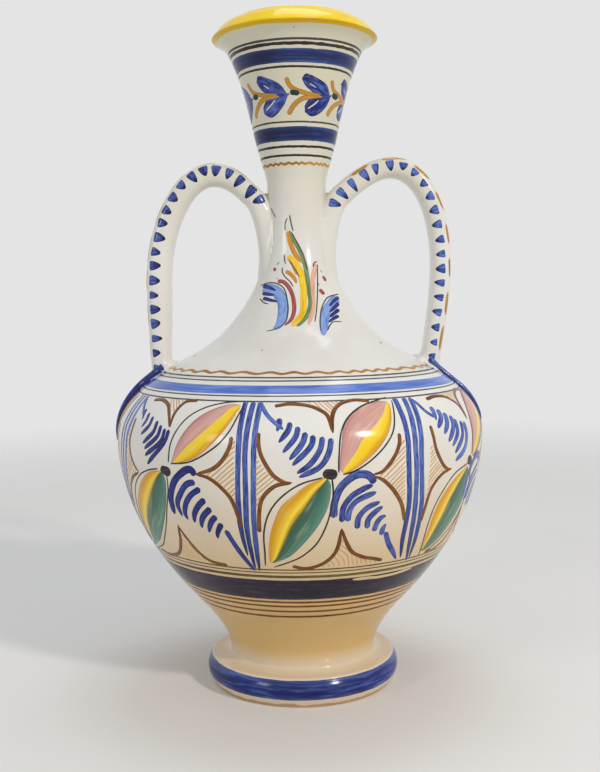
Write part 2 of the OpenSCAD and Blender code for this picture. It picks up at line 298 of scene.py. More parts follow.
@dataclass(frozen=True)
class LipGlaze(Finish):
    """Yellow lip, more golden in its thick streaks and with painted shade along its lower edge, with cream
    glaze inside the mouth.
    """

    bright: Colour = (246, 208, 0)
    # Deep gold of the thick streaks, also used as the painted shade along the lip's lower edge.
    gold_and_shade: Colour = (206, 160, 0)
    pale: Colour = (250, 220, 24)
    inside: Colour = (233, 230, 222)
    # Cream below the yellow, darkened with the same painted shade as the collar under it.
    under: Colour = (220, 211, 184)
    crest_r: float = 39.2
    crest_z: float = 449.4
    inner_lean: float = 0.18
    # Heights where the painted shade along the lip's lower edge starts and becomes full.
    lower_shade_from: float = 439.4
    lower_shade_to: float = 437.4
    under_top: float = 436.3
    under_edge: float = 435.8
    ragged: float = 3.0
    depth: float = 0.25

    def colour(self, nodes: NodeMaker) -> Socket:
        """Brushed yellow outside the crest, with painted shade along its lower edge, and cream inside it.

        Args:
            nodes: Maker of the material's nodes.

        Returns:
            The colour.
        """
        places = nodes.places()
        x, y, z = nodes.separate(places)
        out = nodes.math("SQRT", nodes.plus(nodes.times(x, x), nodes.times(y, y)))
        streaks = nodes.noise(nodes.vector("MULTIPLY", places, (40, 40, 260)), 1.0, 3)
        yellow = nodes.blend(nodes.spread(streaks, 0.45, 0.75), self.bright, self.pale)
        ragged = nodes.times(nodes.minus(nodes.noise(places, 60, 2), 0.5), self.ragged * MM)
        # Painted shade along the lip's lower edge.
        low = nodes.spread(nodes.plus(z, ragged), self.lower_shade_from * MM, self.lower_shade_to * MM, 0.0, 0.6)
        # Thick streaks and the painted shade both turn the yellow gold.
        thick = nodes.math("MAXIMUM", low, nodes.spread(streaks, 0.42, 0.28, 0.0, 0.4))
        golden_and_shaded = nodes.blend(thick, yellow, self.gold_and_shade)
        # Below the yellow, cream darkened with the collar's painted shade.
        sag = nodes.plus(z, nodes.times(ragged, 0.4))
        golden_and_shaded = nodes.blend(nodes.spread(sag, self.under_top * MM, self.under_edge * MM), golden_and_shaded, self.under)
        rise = nodes.times(nodes.minus(z, self.crest_z * MM), self.inner_lean)
        past = nodes.plus(nodes.minus(out, self.crest_r * MM), rise)
        wet = nodes.plus(past, nodes.times(ragged, 0.3))
        return nodes.blend(nodes.spread(wet, -0.4 * MM, 0.2 * MM), self.inside, golden_and_shaded)

    def relief(self, nodes: NodeMaker) -> tuple[Socket, float]:
        """Slow waves of the thick glaze."""
        return nodes.noise(nodes.places(), 110, 2), self.depth * MM


@dataclass(frozen=True)
class BrushPaint(Finish):
    """One pigment from a loaded brush: streaked along the stroke, darker at its edges, where it pools, and
    where painted shade is laid on the rings and uprights.
    """

    thin: Colour = (120, 140, 205)
    body: Colour = (58, 80, 170)
    deep: Colour = (28, 40, 105)
    rim: float = 0.7
    wash: float = 0.0
    streak_from: float = 0.34
    streak_to: float = 0.64

    def colour(self, nodes: NodeMaker) -> Socket:
        """Thin and full paint in streaks, then the deep colour where it gathers.

        Args:
            nodes: Maker of the material's nodes.

        Returns:
            The colour.
        """
        across, tone, pool = (nodes.attribute(name) for name in ("across", "tone", "pool"))
        along = nodes.along((0.11, 1.9, 37))
        streaks = nodes.spread(nodes.noise(along, 1.7, 2), self.streak_from, self.streak_to)
        load = nodes.plus(nodes.times(streaks, 0.72), nodes.times(tone, 0.4))
        edge = nodes.math("POWER", nodes.math("ABSOLUTE", across), 4)
        load = nodes.minus(load, nodes.times(edge, self.wash))
        share = nodes.add("ShaderNodeClamp", {"Value": load}).outputs[0]
        blots = nodes.spread(nodes.noise(along, 0.6, 2, 9.0), 0.5, 0.7, 0.0, 0.65)
        # The pool measure brings in the deep colour; on the rings and the belly's uprights it also lays painted
        # shade.
        gather = nodes.math("MAXIMUM", nodes.math("MAXIMUM", nodes.times(edge, self.rim), blots), pool)
        full = nodes.blend(share, self.thin, self.body)
        return nodes.blend(nodes.math("MINIMUM", gather, 1.0), full, self.deep)


@dataclass(frozen=True)
class PetalPaint(Finish):
    """A petal filled with colours side by side, each brushed along the petal."""

    bands: tuple[tuple[float, Colour], ...] = ()
    light: Colour = (248, 236, 190)
    pale: float = 0.4

    def colour(self, nodes: NodeMaker) -> Socket:
        """Colour bands across the petal, ragged along it, with pale streaks.

        Args:
            nodes: Maker of the material's nodes.

        Returns:
            The colour.
        """
        sway = nodes.minus(nodes.noise(nodes.along((0.05, 2.6, 41)), 1.2, 3), 0.5)
        half = nodes.math("MULTIPLY_ADD", nodes.attribute("across"), 0.5, 0.5)
        ramp = nodes.add("ShaderNodeValToRGB", {0: nodes.plus(half, nodes.times(sway, 0.13))})
        stops = ramp.color_ramp.elements
        for number, (place, colour) in enumerate(self.bands):
            stop = stops[number] if number < 2 else stops.new(place)
            stop.position = place
            stop.color = linear(colour)
        fine = nodes.noise(nodes.along((0.06, 7.0, 23)), 1.0, 2, 5.0)
        return nodes.blend(nodes.spread(fine, 0.48, 0.8, 0.0, self.pale), ramp.outputs[0], self.light)


@dataclass(frozen=True)
class FloorPaint(Finish):
    """Pale matt floor that melts into the backdrop far away."""

    near: Colour = (240, 239, 236)
    grain: Colour = (236, 234, 230)
    clear_from: float = 0.55
    clear_to: float = 1.7

    def colour(self, nodes: NodeMaker) -> Socket:
        """Pale colour with a faint grain."""
        return nodes.blend(nodes.noise(nodes.places(), 9, 4), self.near, self.grain)

    def cover(self, nodes: NodeMaker) -> Socket:
        """Full about the vase and none far away."""
        out = nodes.add("ShaderNodeVectorMath", {0: nodes.places()}, operation="LENGTH").outputs["Value"]
        return nodes.spread(out, self.clear_from, self.clear_to, 1.0, 0.0)


class Pigment(Enum):
    """The painter's colours."""

    COBALT = BrushPaint("cobalt_paint", thin=(108, 138, 214), body=(34, 54, 146), deep=(8, 14, 66),
                        streak_from=0.38, streak_to=0.66)
    LEAF = BrushPaint("leaf_cobalt_paint", thin=(96, 120, 196), body=(26, 40, 122), deep=(6, 10, 50),
                      streak_from=0.36, streak_to=0.62)
    INK = BrushPaint("dark_cobalt_paint", thin=(50, 70, 158), body=(13, 24, 104), deep=(2, 5, 46))
    SKY = BrushPaint("thin_cobalt_paint", thin=(160, 188, 234), body=(120, 154, 220), deep=(70, 100, 184))
    BAND = BrushPaint("shoulder_blue_paint", thin=(126, 160, 232), body=(70, 112, 204), deep=(44, 76, 166),
                      rim=0.1, wash=0.3)
    FOOT = BrushPaint("foot_blue_paint", thin=(104, 130, 204), body=(22, 40, 128), deep=(6, 12, 58),
                      rim=0.1, wash=0.7, streak_from=0.24, streak_to=0.58)
    NAVY = BrushPaint("navy_band_paint", thin=(78, 104, 172), body=(17, 30, 88), deep=(6, 10, 42),
                      rim=0, wash=0.8, streak_from=0.1, streak_to=0.55)
    PLUM = BrushPaint("dark_band_paint", thin=(76, 62, 94), body=(34, 22, 48), deep=(14, 7, 20),
                      rim=0.3, wash=0.3, streak_from=0.2, streak_to=0.6)
    BROWN = BrushPaint("brown_paint", thin=(156, 98, 36), body=(104, 56, 8), deep=(50, 22, 2))
    RUST = BrushPaint("rust_line_paint", thin=(158, 92, 0), body=(120, 56, 0), deep=(72, 28, 0))
    LINE = BrushPaint("grey_line_paint", thin=(112, 110, 100), body=(54, 52, 48), deep=(22, 21, 20))
    BLACK = BrushPaint("black_line_paint", thin=(78, 73, 66), body=(22, 20, 20), deep=(7, 7, 8))
    TAN = BrushPaint("tan_hatch_paint", thin=(226, 192, 138), body=(205, 156, 92), deep=(180, 126, 64))
    OCHRE = BrushPaint("ochre_paint", thin=(206, 156, 74), body=(182, 126, 40), deep=(130, 80, 22))
    ORANGE = BrushPaint("orange_paint", thin=(228, 166, 64), body=(210, 136, 32), deep=(150, 82, 16))
    OLIVE = BrushPaint("olive_line_paint", thin=(140, 124, 72), body=(88, 74, 34), deep=(46, 38, 18))
    YELLOW = BrushPaint("yellow_paint", thin=(250, 224, 86), body=(246, 202, 22), deep=(224, 160, 12),
                        rim=0.4)
    GREEN = BrushPaint("green_paint", thin=(136, 162, 108), body=(90, 122, 74), deep=(38, 68, 48))
    TEAL = BrushPaint("dark_green_paint", thin=(42, 74, 66), body=(18, 42, 40), deep=(6, 18, 18))
    RED = BrushPaint("red_paint", thin=(192, 108, 102), body=(156, 66, 62), deep=(92, 26, 28))
    SALMON = BrushPaint("salmon_paint", thin=(238, 198, 176), body=(228, 168, 140), deep=(204, 132, 100),
                        rim=0.4)
    STREAK = BrushPaint("bare_streak", thin=(230, 224, 210), body=(224, 214, 194), deep=(206, 194, 172),
                        rim=0.2)
    BARE = BrushPaint("bare_band_gap", thin=(222, 202, 160), body=(216, 192, 146), deep=(190, 160, 110),
                      rim=0.2)


GLAZE = TinGlaze("cream_tin_glaze")
LIP = LipGlaze("yellow_lip_glaze", shine=0.24)
UPPER_PETAL = PetalPaint("pink_yellow_petal", bands=(
    (0.0, (186, 118, 116)), (1.0, (214, 146, 20)), (0.12, (206, 150, 144)), (0.38, (214, 164, 154)),
    (0.46, (206, 150, 140)), (0.485, (234, 200, 130)), (0.52, (250, 216, 36)), (0.78, (246, 206, 22)),
    (0.9, (228, 166, 22)),
))
LOWER_PETAL = PetalPaint("yellow_green_petal", bands=(
    (0.0, (222, 166, 34)), (1.0, (96, 142, 126)), (0.12, (218, 154, 20)), (0.24, (238, 188, 20)),
    (0.36, (252, 222, 66)), (0.44, (214, 168, 28)), (0.475, (146, 128, 42)), (0.505, (64, 96, 66)),
    (0.62, (56, 98, 82)), (0.86, (78, 126, 108)),
), light=(190, 202, 150), pale=0.34)


@dataclass(frozen=True)
class Station:
    """One ring of the outer wall: its height, its radius, and the radius gained per height."""

    z: float
    r: float
    slope: float


@dataclass(frozen=True)
class ThrownWall:
    """The outer wall from the waist to the brim, as a cubic between rings, with an even clay thickness."""

    stations: tuple[Station, ...] = (
        Station(22.5, 50.5, 0), Station(69, 79, 0.88), Station(174.5, 124.85, 0), Station(226.5, 75, -2.03),
        Station(256, 40, -0.76), Station(341, 20, 0), Station(356.5, 23.5, 0.31), Station(423.5, 42.5, 0.46),
        Station(437.5, 55, 1.98),
    )
    thickness: float = 6.0

    def _cubic(self, z: Any) -> tuple[np.ndarray, np.ndarray]:
        """The outer wall between its rings.

        Args:
            z: Heights on the wall.

        Returns:
            Its radius and its slope at each height.
        """
        z = np.asarray(z, float)
        low, high = self.stations[:-1], self.stations[1:]
        span = np.clip(np.searchsorted([s.z for s in high], z, side="right"), 0, len(high) - 1)
        za, ra, sa = (np.array([getattr(s, key) for s in low], float)[span] for key in ("z", "r", "slope"))
        zb, rb, sb = (np.array([getattr(s, key) for s in high], float)[span] for key in ("z", "r", "slope"))
        rise = zb - za
        t = (z - za) / rise
        radius = ((2 * t ** 3 - 3 * t ** 2 + 1) * ra + (t ** 3 - 2 * t ** 2 + t) * rise * sa
                  + (3 * t ** 2 - 2 * t ** 3) * rb + (t ** 3 - t ** 2) * rise * sb)
        slope = ((6 * t ** 2 - 6 * t) * (ra - rb) / rise + (3 * t ** 2 - 4 * t + 1) * sa
                 + (3 * t ** 2 - 2 * t) * sb)
        return radius, slope

    def outer(self, z: Any) -> np.ndarray:
        """Radius of the outer wall."""
        return self._cubic(z)[0]

    def slope(self, z: Any) -> np.ndarray:
        """Radius gained per height on the outer wall."""
        return self._cubic(z)[1]

    def inner(self, z: Any) -> np.ndarray:
        """Radius of the inner wall."""
        radius, slope = self._cubic(z)
        return radius - self.thickness * np.sqrt(1 + slope ** 2)

    def heights(self, low: float, high: float, step: float) -> np.ndarray:
        """Heights between two rings, closer where the wall lies flat, so that facets stay even.

        Args:
            low: The lower ring.
            high: The upper ring.
            step: Longest facet.

        Returns:
            The heights, upwards.
        """
        fine = np.linspace(low, high, 400)
        length = np.concatenate([[0], np.cumsum(np.hypot(np.diff(fine), np.diff(self.outer(fine))))])
        count = max(2, math.ceil(length[-1] / step) + 1)
        return np.interp(np.linspace(0, length[-1], count), length, fine)

    def scale(self, z: Any) -> np.ndarray:
        """Length on the wall of one degree and of one step of height, side by side."""
        radius, slope = self._cubic(z)
        return np.stack([radius * math.pi / 180, np.sqrt(1 + slope ** 2)], -1)

    def places(self, angle: Any, z: Any, lift: Any) -> np.ndarray:
        """Points that stand off the outer wall.

        Args:
            angle: Degrees round the vase from the front.
            z: Heights on the wall.
            lift: How far each point stands off the wall.

        Returns:
            Points in metres, with the three coordinates last.
        """
        radius, slope = self._cubic(z)
        lean = np.sqrt(1 + slope ** 2)
        out = radius + lift / lean
        turn = np.radians(angle)
        return np.stack([out * np.sin(turn), -out * np.cos(turn), z - lift * slope / lean], -1) * MM

    def clearance(self, points: np.ndarray) -> np.ndarray:
        """How far points in millimetres stand off the outer wall, negative inside it."""
        radius, slope = self._cubic(points[..., 2])
        return (np.hypot(points[..., 0], points[..., 1]) - radius) / np.sqrt(1 + slope ** 2)


WALL = ThrownWall()


def new_mesh(name: str, points: Any, edges: Any, faces: Any) -> Mesh:
    """Makes a mesh.

    Args:
        name: Its name.
        points: Its points, in metres.
        edges: Pairs of points that it joins.
        faces: Rings of points that it fills.

    Returns:
        The new mesh.
    """
    mesh = bpy.data.meshes.new(name)
    mesh.from_pydata([tuple(p) for p in points], edges, faces)
    return mesh


def line_mesh(name: str, points: Sequence[Sequence[float]]) -> Mesh:
    """A mesh of points in metres joined in a row, for a node tree to start from."""
    return new_mesh(name, points, [(i, i + 1) for i in range(len(points) - 1)], [])


def outline_mesh(name: str, outline: Sequence[Pair]) -> Mesh:
    """An outline of radii and heights as a line of points, for the wheel to turn."""
    return line_mesh(name, [(r * MM, 0, z * MM) for r, z in outline])


def show(name: str, data: Any) -> Object:
    """Puts a mesh, lamp or camera in the scene, at the origin.

    Args:
        name: Name of the object.
        data: The mesh, lamp or camera.

    Returns:
        The new object.
    """
    made = bpy.data.objects.new(name, data)
    bpy.context.scene.collection.objects.link(made)
    return made


def face_outwards(mesh: Mesh) -> None:
    """Turns a closed mesh whose faces all point inwards.

    Args:
        mesh: The mesh.
    """
    work = bmesh.new()
    work.from_mesh(mesh)
    inside_out = work.calc_volume(signed=True) < 0
    work.free()
    if inside_out:
        mesh.flip_normals()


def note(mesh: Mesh, measures: dict[str, Any]) -> None:
    """Keeps named measures on a mesh's points.

    Args:
        mesh: The mesh.
        measures: A number or a vector for each point, by name.
    """
    for name, values in measures.items():
        values = np.ascontiguousarray(values, np.float32)
        kind, key = ("FLOAT", "value") if values.ndim == 1 else ("FLOAT_VECTOR", "vector")
        mesh.attributes.new(name, kind, "POINT").data.foreach_set(key, values.ravel())


def read(rows: Any, key: str, wide: int = 3, kind: type = float) -> np.ndarray:
    """Reads one measure of a mesh's points, faces or corners.

    Args:
        rows: The points, faces or corners.
        key: Blender's name for the measure.
        wide: How many numbers it has.
        kind: What its numbers are.

    Returns:
        One row of numbers for each.
    """
    data = np.empty(len(rows) * wide, kind)
    rows.foreach_get(key, data)
    return data.reshape(-1, wide)


class NodeShape:
    """A Geometry Nodes tree with named inputs, run once on a line of points to give a plain mesh."""

    sockets = {"Number": "NodeSocketFloat", "Count": "NodeSocketInt", "Object": "NodeSocketObject",
               "Material": "NodeSocketMaterial"}
    meet = 0.0004
    name = "shape"
    inputs: dict[str, str] = {}

    def __init__(self) -> None:
        """Builds the tree with its named inputs."""
        self.tree = bpy.data.node_groups.new(self.name, "GeometryNodeTree")
        face = self.tree.interface
        face.new_socket("Geometry", in_out="INPUT", socket_type="NodeSocketGeometry")
        for label, kind in {**self.inputs, "Material": "Material"}.items():
            face.new_socket(label, in_out="INPUT", socket_type=self.sockets[kind])
        face.new_socket("Geometry", in_out="OUTPUT", socket_type="NodeSocketGeometry")
        self.nodes = NodeMaker(self.tree)
        self.given = self.nodes.add("NodeGroupInput").outputs
        shape = self.nodes.add("GeometryNodeSetShadeSmooth", {"Geometry": self.build()}).outputs[0]
        real = self.nodes.add("GeometryNodeRealizeInstances", {"Geometry": shape}).outputs[0]
        dress = {"Geometry": real, "Material": self.given["Material"]}
        dressed = self.nodes.add("GeometryNodeSetMaterial", dress)
        self.nodes.add("NodeGroupOutput", {"Geometry": dressed.outputs[0]})

    def build(self) -> Socket:
        """The geometry that the tree gives, made by each kind of shape."""
        raise NotImplementedError

    def here(self) -> Socket:
        """Place of each point."""
        return self.nodes.add("GeometryNodeInputPosition").outputs[0]

    def turned(self) -> tuple[Socket, Socket, Socket]:
        """A sheet with a column for each side of the vase, whose rows follow the starting line.

        Returns:
            The sheet, each point's place on the line, and its angle round the vase.
        """
        nodes, start, sides = self.nodes, self.given["Geometry"], self.given["Sides"]
        count = nodes.add("GeometryNodeAttributeDomainSize", {0: start}).outputs["Point Count"]
        rows = nodes.plus(count, 1)
        sizes = {"Vertices X": nodes.plus(sides, 1), "Vertices Y": rows}
        sheet = nodes.add("GeometryNodeMeshGrid", sizes).outputs["Mesh"]
        index = nodes.add("GeometryNodeInputIndex").outputs[0]
        row = nodes.math("MODULO", nodes.math("MODULO", index, rows), count)
        column = nodes.math("FLOOR", nodes.math("DIVIDE", nodes.plus(index, 0.5), rows))
        share = nodes.math("DIVIDE", nodes.math("MODULO", column, sides), sides)
        inputs = {"Geometry": start, "Value": self.here(), "Index": row}
        kept = nodes.add("GeometryNodeSampleIndex", inputs, data_type="FLOAT_VECTOR")
        return sheet, kept.outputs["Value"], nodes.times(share, math.tau)

    def moved(self, sheet: Socket, place: Socket) -> Socket:
        """Moves a sheet's points to their places and closes it where its edges meet.

        Args:
            sheet: The sheet.
            place: Place of each of its points.

        Returns:
            The closed sheet.
        """
        moved = self.nodes.add("GeometryNodeSetPosition", {"Geometry": sheet, "Position": place}).outputs[0]
        return self.nodes.add("GeometryNodeMergeByDistance",
                              {"Geometry": moved, "Distance": self.meet * MM}).outputs[0]

    def struck(self, target: Socket, source: Socket, way: Socket, reach: Any) -> tuple[Socket, Socket]:
        """Place and facing of a surface that a ray meets.

        Args:
            target: Object whose surface is met.
            source: Where the ray starts.
            way: Its direction.
            reach: Its length.

        Returns:
            The place and the surface's facing there.
        """
        wall = self.nodes.add("GeometryNodeObjectInfo", {"Object": target}).outputs["Geometry"]
        inputs = {"Target Geometry": wall, "Source Position": source, "Ray Direction": way,
                  "Ray Length": reach}
        ray = self.nodes.add("GeometryNodeRaycast", inputs)
        met = {"Switch": ray.outputs["Is Hit"], "False": source, "True": ray.outputs["Hit Position"]}
        place = self.nodes.add("GeometryNodeSwitch", met, input_type="VECTOR").outputs[0]
        return place, ray.outputs["Hit Normal"]

    def run(self, name: str, start: Mesh, **values: Any) -> Object:
        """Runs the tree and keeps its result as a plain mesh.

        Args:
            name: Name of the object.
            start: The line of points that the tree starts from.
            values: The tree's inputs, with _ for spaces.

        Returns:
            The object, with no modifier left on it.
        """
        made = show(name, start)
        step = made.modifiers.new(self.name, "NODES")
        step.node_group = self.tree
        items = self.tree.interface.items_tree
        codes = {item.name: item.identifier for item in items if item.in_out == "INPUT"}
        for label, value in values.items():
            step[codes[label.replace("_", " ")]] = value
        graph = bpy.context.evaluated_depsgraph_get()
        result = bpy.data.meshes.new_from_object(made.evaluated_get(graph))
        made.modifiers.clear()
        made.data = result
        face_outwards(result)
        return made


class LatheShape(NodeShape):
    """Turns a closed outline round the vase's axis, as clay turns on the wheel."""

    name = "turned_on_the_wheel"
    inputs = {"Sides": "Count"}

    def build(self) -> Socket:
        """The outline at each side of the vase.

        Returns:
            The closed wall.
        """
        nodes = self.nodes
        sheet, point, turn = self.turned()
        radius, _, height = nodes.separate(point)
        x = nodes.times(radius, nodes.math("SINE", turn))
        y = nodes.times(radius, nodes.times(nodes.math("COSINE", turn), -1))
        return self.moved(sheet, nodes.combine(x, y, height))


class RingShape(NodeShape):
    """Paints one ring round the vase while it turns: it sways, waves and thins, and its ends close."""

    name = "painted_ring"
    inputs = {"Wall": "Object", "Sides": "Count", "Height": "Number", "Width": "Number", "Sway": "Number",
              "Ragged": "Number", "Wave": "Number", "Waves": "Number", "Seed": "Number"}
    far = 0.3

    def build(self) -> Socket:
        """A ribbon whose cross-section is the line of points, laid on the wall by rays.

        Returns:
            The closed ribbon.
        """
        nodes, given = self.nodes, self.given
        sheet, point, turn = self.turned()
        across, lift, _ = nodes.separate(point)
        way = nodes.combine(nodes.math("SINE", turn), nodes.times(nodes.math("COSINE", turn), -1), 0.0)
        slow = nodes.minus(nodes.noise(way, 0.9, 1, given["Seed"]), 0.5)
        edge = nodes.vector("ADD", way, nodes.combine(0.0, 0.0, across))
        quick = nodes.noise(edge, 9.0, 2, nodes.plus(given["Seed"], 7))
        broad = nodes.math("MULTIPLY_ADD", nodes.minus(quick, 0.5), given["Ragged"], 0.5)
        crest = nodes.math("SINE", nodes.times(nodes.plus(turn, slow), given["Waves"]))
        height = nodes.math("MULTIPLY_ADD", slow, given["Sway"], given["Height"])
        height = nodes.math("MULTIPLY_ADD", crest, given["Wave"], height)
        height = nodes.math("MULTIPLY_ADD", nodes.times(across, broad), given["Width"], height)
        source = nodes.vector("ADD", nodes.scaled(way, self.far), nodes.combine(0.0, 0.0, height))
        place, facing = self.struck(given["Wall"], source, nodes.scaled(way, -1.0), self.far)
        return self.moved(sheet, nodes.vector("ADD", place, nodes.scaled(facing, lift)))


class MarkShape(NodeShape):
    """Sets brush marks at even steps along a guide and presses each on the surface behind it."""

    name = "marks_along_a_path"
    inputs = {"Mark": "Object", "Wall": "Object", "Count": "Count", "Least": "Number", "Most": "Number",
              "Twist": "Number", "Seed": "Count", "Reach": "Number"}

    def build(self) -> Socket:
        """Marks turned to the guide's own directions, then moved on to the surface along its facing.

        Returns:
            The marks.
        """
        nodes, given = self.nodes, self.given
        curve = nodes.add("GeometryNodeMeshToCurve", {0: given["Geometry"]}).outputs[0]
        steps = nodes.add("GeometryNodeResampleCurve", {"Curve": curve, "Count": given["Count"]}).outputs[0]
        facing = self.named("facing", "FLOAT_VECTOR")
        first = nodes.add("FunctionNodeAlignRotationToVector", {"Vector": facing}, axis="Z").outputs[0]
        inputs = {"Rotation": first, "Vector": self.named("inward", "FLOAT_VECTOR")}
        second = nodes.add("FunctionNodeAlignRotationToVector", inputs, axis="X", pivot_axis="Z").outputs[0]
        twist = self.chance(nodes.times(given["Twist"], -1), given["Twist"], 3)
        spin = nodes.add("FunctionNodeAxisAngleToRotation", {"Axis": (0, 0, 1), "Angle": twist}).outputs[0]
        both = {"Rotation": second, "Rotate By": spin}
        turned = nodes.add("FunctionNodeRotateRotation", both, rotation_space="LOCAL")
        long, wide = (self.chance(given["Least"], given["Most"], salt) for salt in (1, 2))
        size = nodes.combine(nodes.times(long, self.named("long", "FLOAT")),
                             nodes.times(wide, self.named("wide", "FLOAT")), 1.0)
        mark = nodes.add("GeometryNodeObjectInfo", {"Object": given["Mark"]}).outputs["Geometry"]
        marks = nodes.add("GeometryNodeInstanceOnPoints", {
            "Points": steps, "Instance": mark, "Rotation": turned.outputs[0], "Scale": size}).outputs[0]
        kept = {"Geometry": marks, "Name": "tone", "Value": self.chance(0.0, 1.0, 5)}
        toned = nodes.add("GeometryNodeStoreNamedAttribute", kept, domain="INSTANCE").outputs[0]
        real = nodes.add("GeometryNodeRealizeInstances", {0: toned}).outputs[0]
        source = nodes.vector("ADD", self.here(), nodes.scaled(facing, given["Reach"]))
        place, normal = self.struck(given["Wall"], source, nodes.scaled(facing, -1.0),
                                    nodes.times(given["Reach"], 2))
        lifted = nodes.vector("ADD", place, nodes.scaled(normal, self.named("lift", "FLOAT")))
        return nodes.add("GeometryNodeSetPosition", {"Geometry": real, "Position": lifted}).outputs[0]

    def named(self, label: str, kind: str) -> Socket:
        """A named attribute of the points."""
        node = self.nodes.add("GeometryNodeInputNamedAttribute", {"Name": label}, data_type=kind)
        return node.outputs["Attribute"]

    def chance(self, least: Any, most: Any, salt: int) -> Socket:
        """A seeded random number for each mark."""
        inputs = {2: least, 3: most, "Seed": self.nodes.plus(self.given["Seed"], salt)}
        return self.nodes.add("FunctionNodeRandomValue", inputs, data_type="FLOAT").outputs[1]


@dataclass
class PaintSkin:
    """Brush marks of one pigment in one zone, each a thin closed skin, gathered into one piece."""

    name: str
    finish: Finish
    slot: str
    verts: list[Place] = field(default_factory=list)
    faces: list[tuple[int, ...]] = field(default_factory=list)
    numbers: dict[str, list[float]] = field(
        default_factory=lambda: {key: [] for key in ("run", "across", "tone", "pool")})

    def lay(self, top: np.ndarray, under: np.ndarray, run: np.ndarray, across: np.ndarray, tone: float,
            pool: np.ndarray) -> None:
        """Adds one closed mark.

        Args:
            top: Grid of points of its painted face, sections first.
            under: Its two lower corners at each section.
            run: Distance along the mark at each section.
            across: Share across the mark of each point of a section, from -1 to 1.
            tone: How strong the paint is, from 0 to 1.
            pool: How much paint has gathered at each section, with painted shade on the belly's uprights.
        """
        sections, wide = top.shape[:2]
        first, row = len(self.verts), wide + 2
        grid = np.concatenate([top, under], axis=1)
        self.verts.extend(map(tuple, grid.reshape(-1, 3)))
        ends = np.concatenate([across, [-1.0, 1.0]])
        self.numbers["run"].extend(np.repeat(run, row))
        self.numbers["across"].extend(np.tile(ends, sections))
        self.numbers["tone"].extend([tone] * (sections * row))
        self.numbers["pool"].extend(np.repeat(pool, row))
        loop = [*range(wide), wide + 1, wide]
        made = [
            (first + i * row + a, first + i * row + b, first + (i + 1) * row + b, first + (i + 1) * row + a)
            for i in range(sections - 1) for a, b in zip(loop, loop[1:] + loop[:1])
        ]
        made.append(tuple(first + a for a in reversed(loop)))
        made.append(tuple(first + (sections - 1) * row + a for a in loop))
        mid = sections // 2
        side = np.cross(top[mid, -1] - top[mid, 0], top[mid, wide // 2] - top[mid - 1, wide // 2])
        if np.dot(side, top[mid, wide // 2] - under[mid].mean(axis=0)) < 0:
            made = [tuple(reversed(f)) for f in made]
        self.faces.extend(made)

    def piece(self) -> Object:
        """Gathers the marks.

        Returns:
            One finished piece on the vase.
        """
        mesh = new_mesh(self.name, self.verts, [], self.faces)
        note(mesh, self.numbers)
        mesh.shade_smooth()
        mesh.materials.append(self.finish.material())
        return seat(show(self.name, mesh), self.slot)


def seat(piece: Object, slot: str, *nodes: str) -> Object:
    """Makes a finished piece ride on the vase.

    Args:
        piece: The piece.
        slot: The record's material slot meant for its finish; not used.
        nodes: The frame's nodes that it stands for.

    Returns:
        The same piece.
    """
    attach(piece, BODY)
    if nodes:
        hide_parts(*nodes)
    LOG.info("%s: %d faces", piece.name, len(piece.data.polygons))
    return piece


@dataclass(frozen=True)
class Mark:
    """One brush mark: its pigment, its width, and the places that it passes.

    head and tail are the lengths over which the brush lands and leaves, pool is how much paint gathers at the
    end, which on the belly's uprights also stands for painted shade low down, and lift orders the marks that
    cross.
    """

    pigment: Pigment
    width: float
    path: Path
    head: float = 1.2
    tail: float = 5.0
    pool: float = 0.35
    lift: float = 0.10
    pool_from: float = 0.72


@dataclass(frozen=True)
class Leaf:
    """A filled petal or leaf between two edges, with the line where its colours meet."""

    left: Path
    middle: Path
    right: Path
    lift: float = 0.06


@dataclass(frozen=True)
class Hatch:
    """A field filled with parallel lines: its corners, the lines' slope in degrees, and their spacing."""

    corners: Path
    slope: float
    gap: float = 2.3
    width: float = 1.05
    bow: float = 0.0
    pigment: Pigment = Pigment.TAN


def through(points: np.ndarray, count: int, scale: np.ndarray) -> tuple[np.ndarray, np.ndarray]:
    """Even steps along a smooth line through points.

    Args:
        points: Places that the line passes, as rows of angle and height.
        count: How many places to give back.
        scale: Length on the wall of a degree and of a step of height.

    Returns:
        The places, and the distance along the line at each.
    """
    ends = np.vstack([2 * points[0] - points[1], points, 2 * points[-1] - points[-2]])
    t = np.linspace(0, 1, 14, endpoint=False)[:, None]
    spans = []
    for a, b, c, d in zip(ends, ends[1:], ends[2:], ends[3:]):
        spans.append(0.5 * (2 * b + (c - a) * t + (2 * a - 5 * b + 4 * c - d) * t ** 2
                            + (3 * b - a - 3 * c + d) * t ** 3))
    dense = np.vstack([*spans, points[-1:]])
    length = np.concatenate([[0], np.cumsum(np.hypot(*(np.diff(dense, axis=0) * scale).T))])
    even = np.linspace(0, length[-1], count)
    return np.stack([np.interp(even, length, dense[:, i]) for i in (0, 1)], -1), even


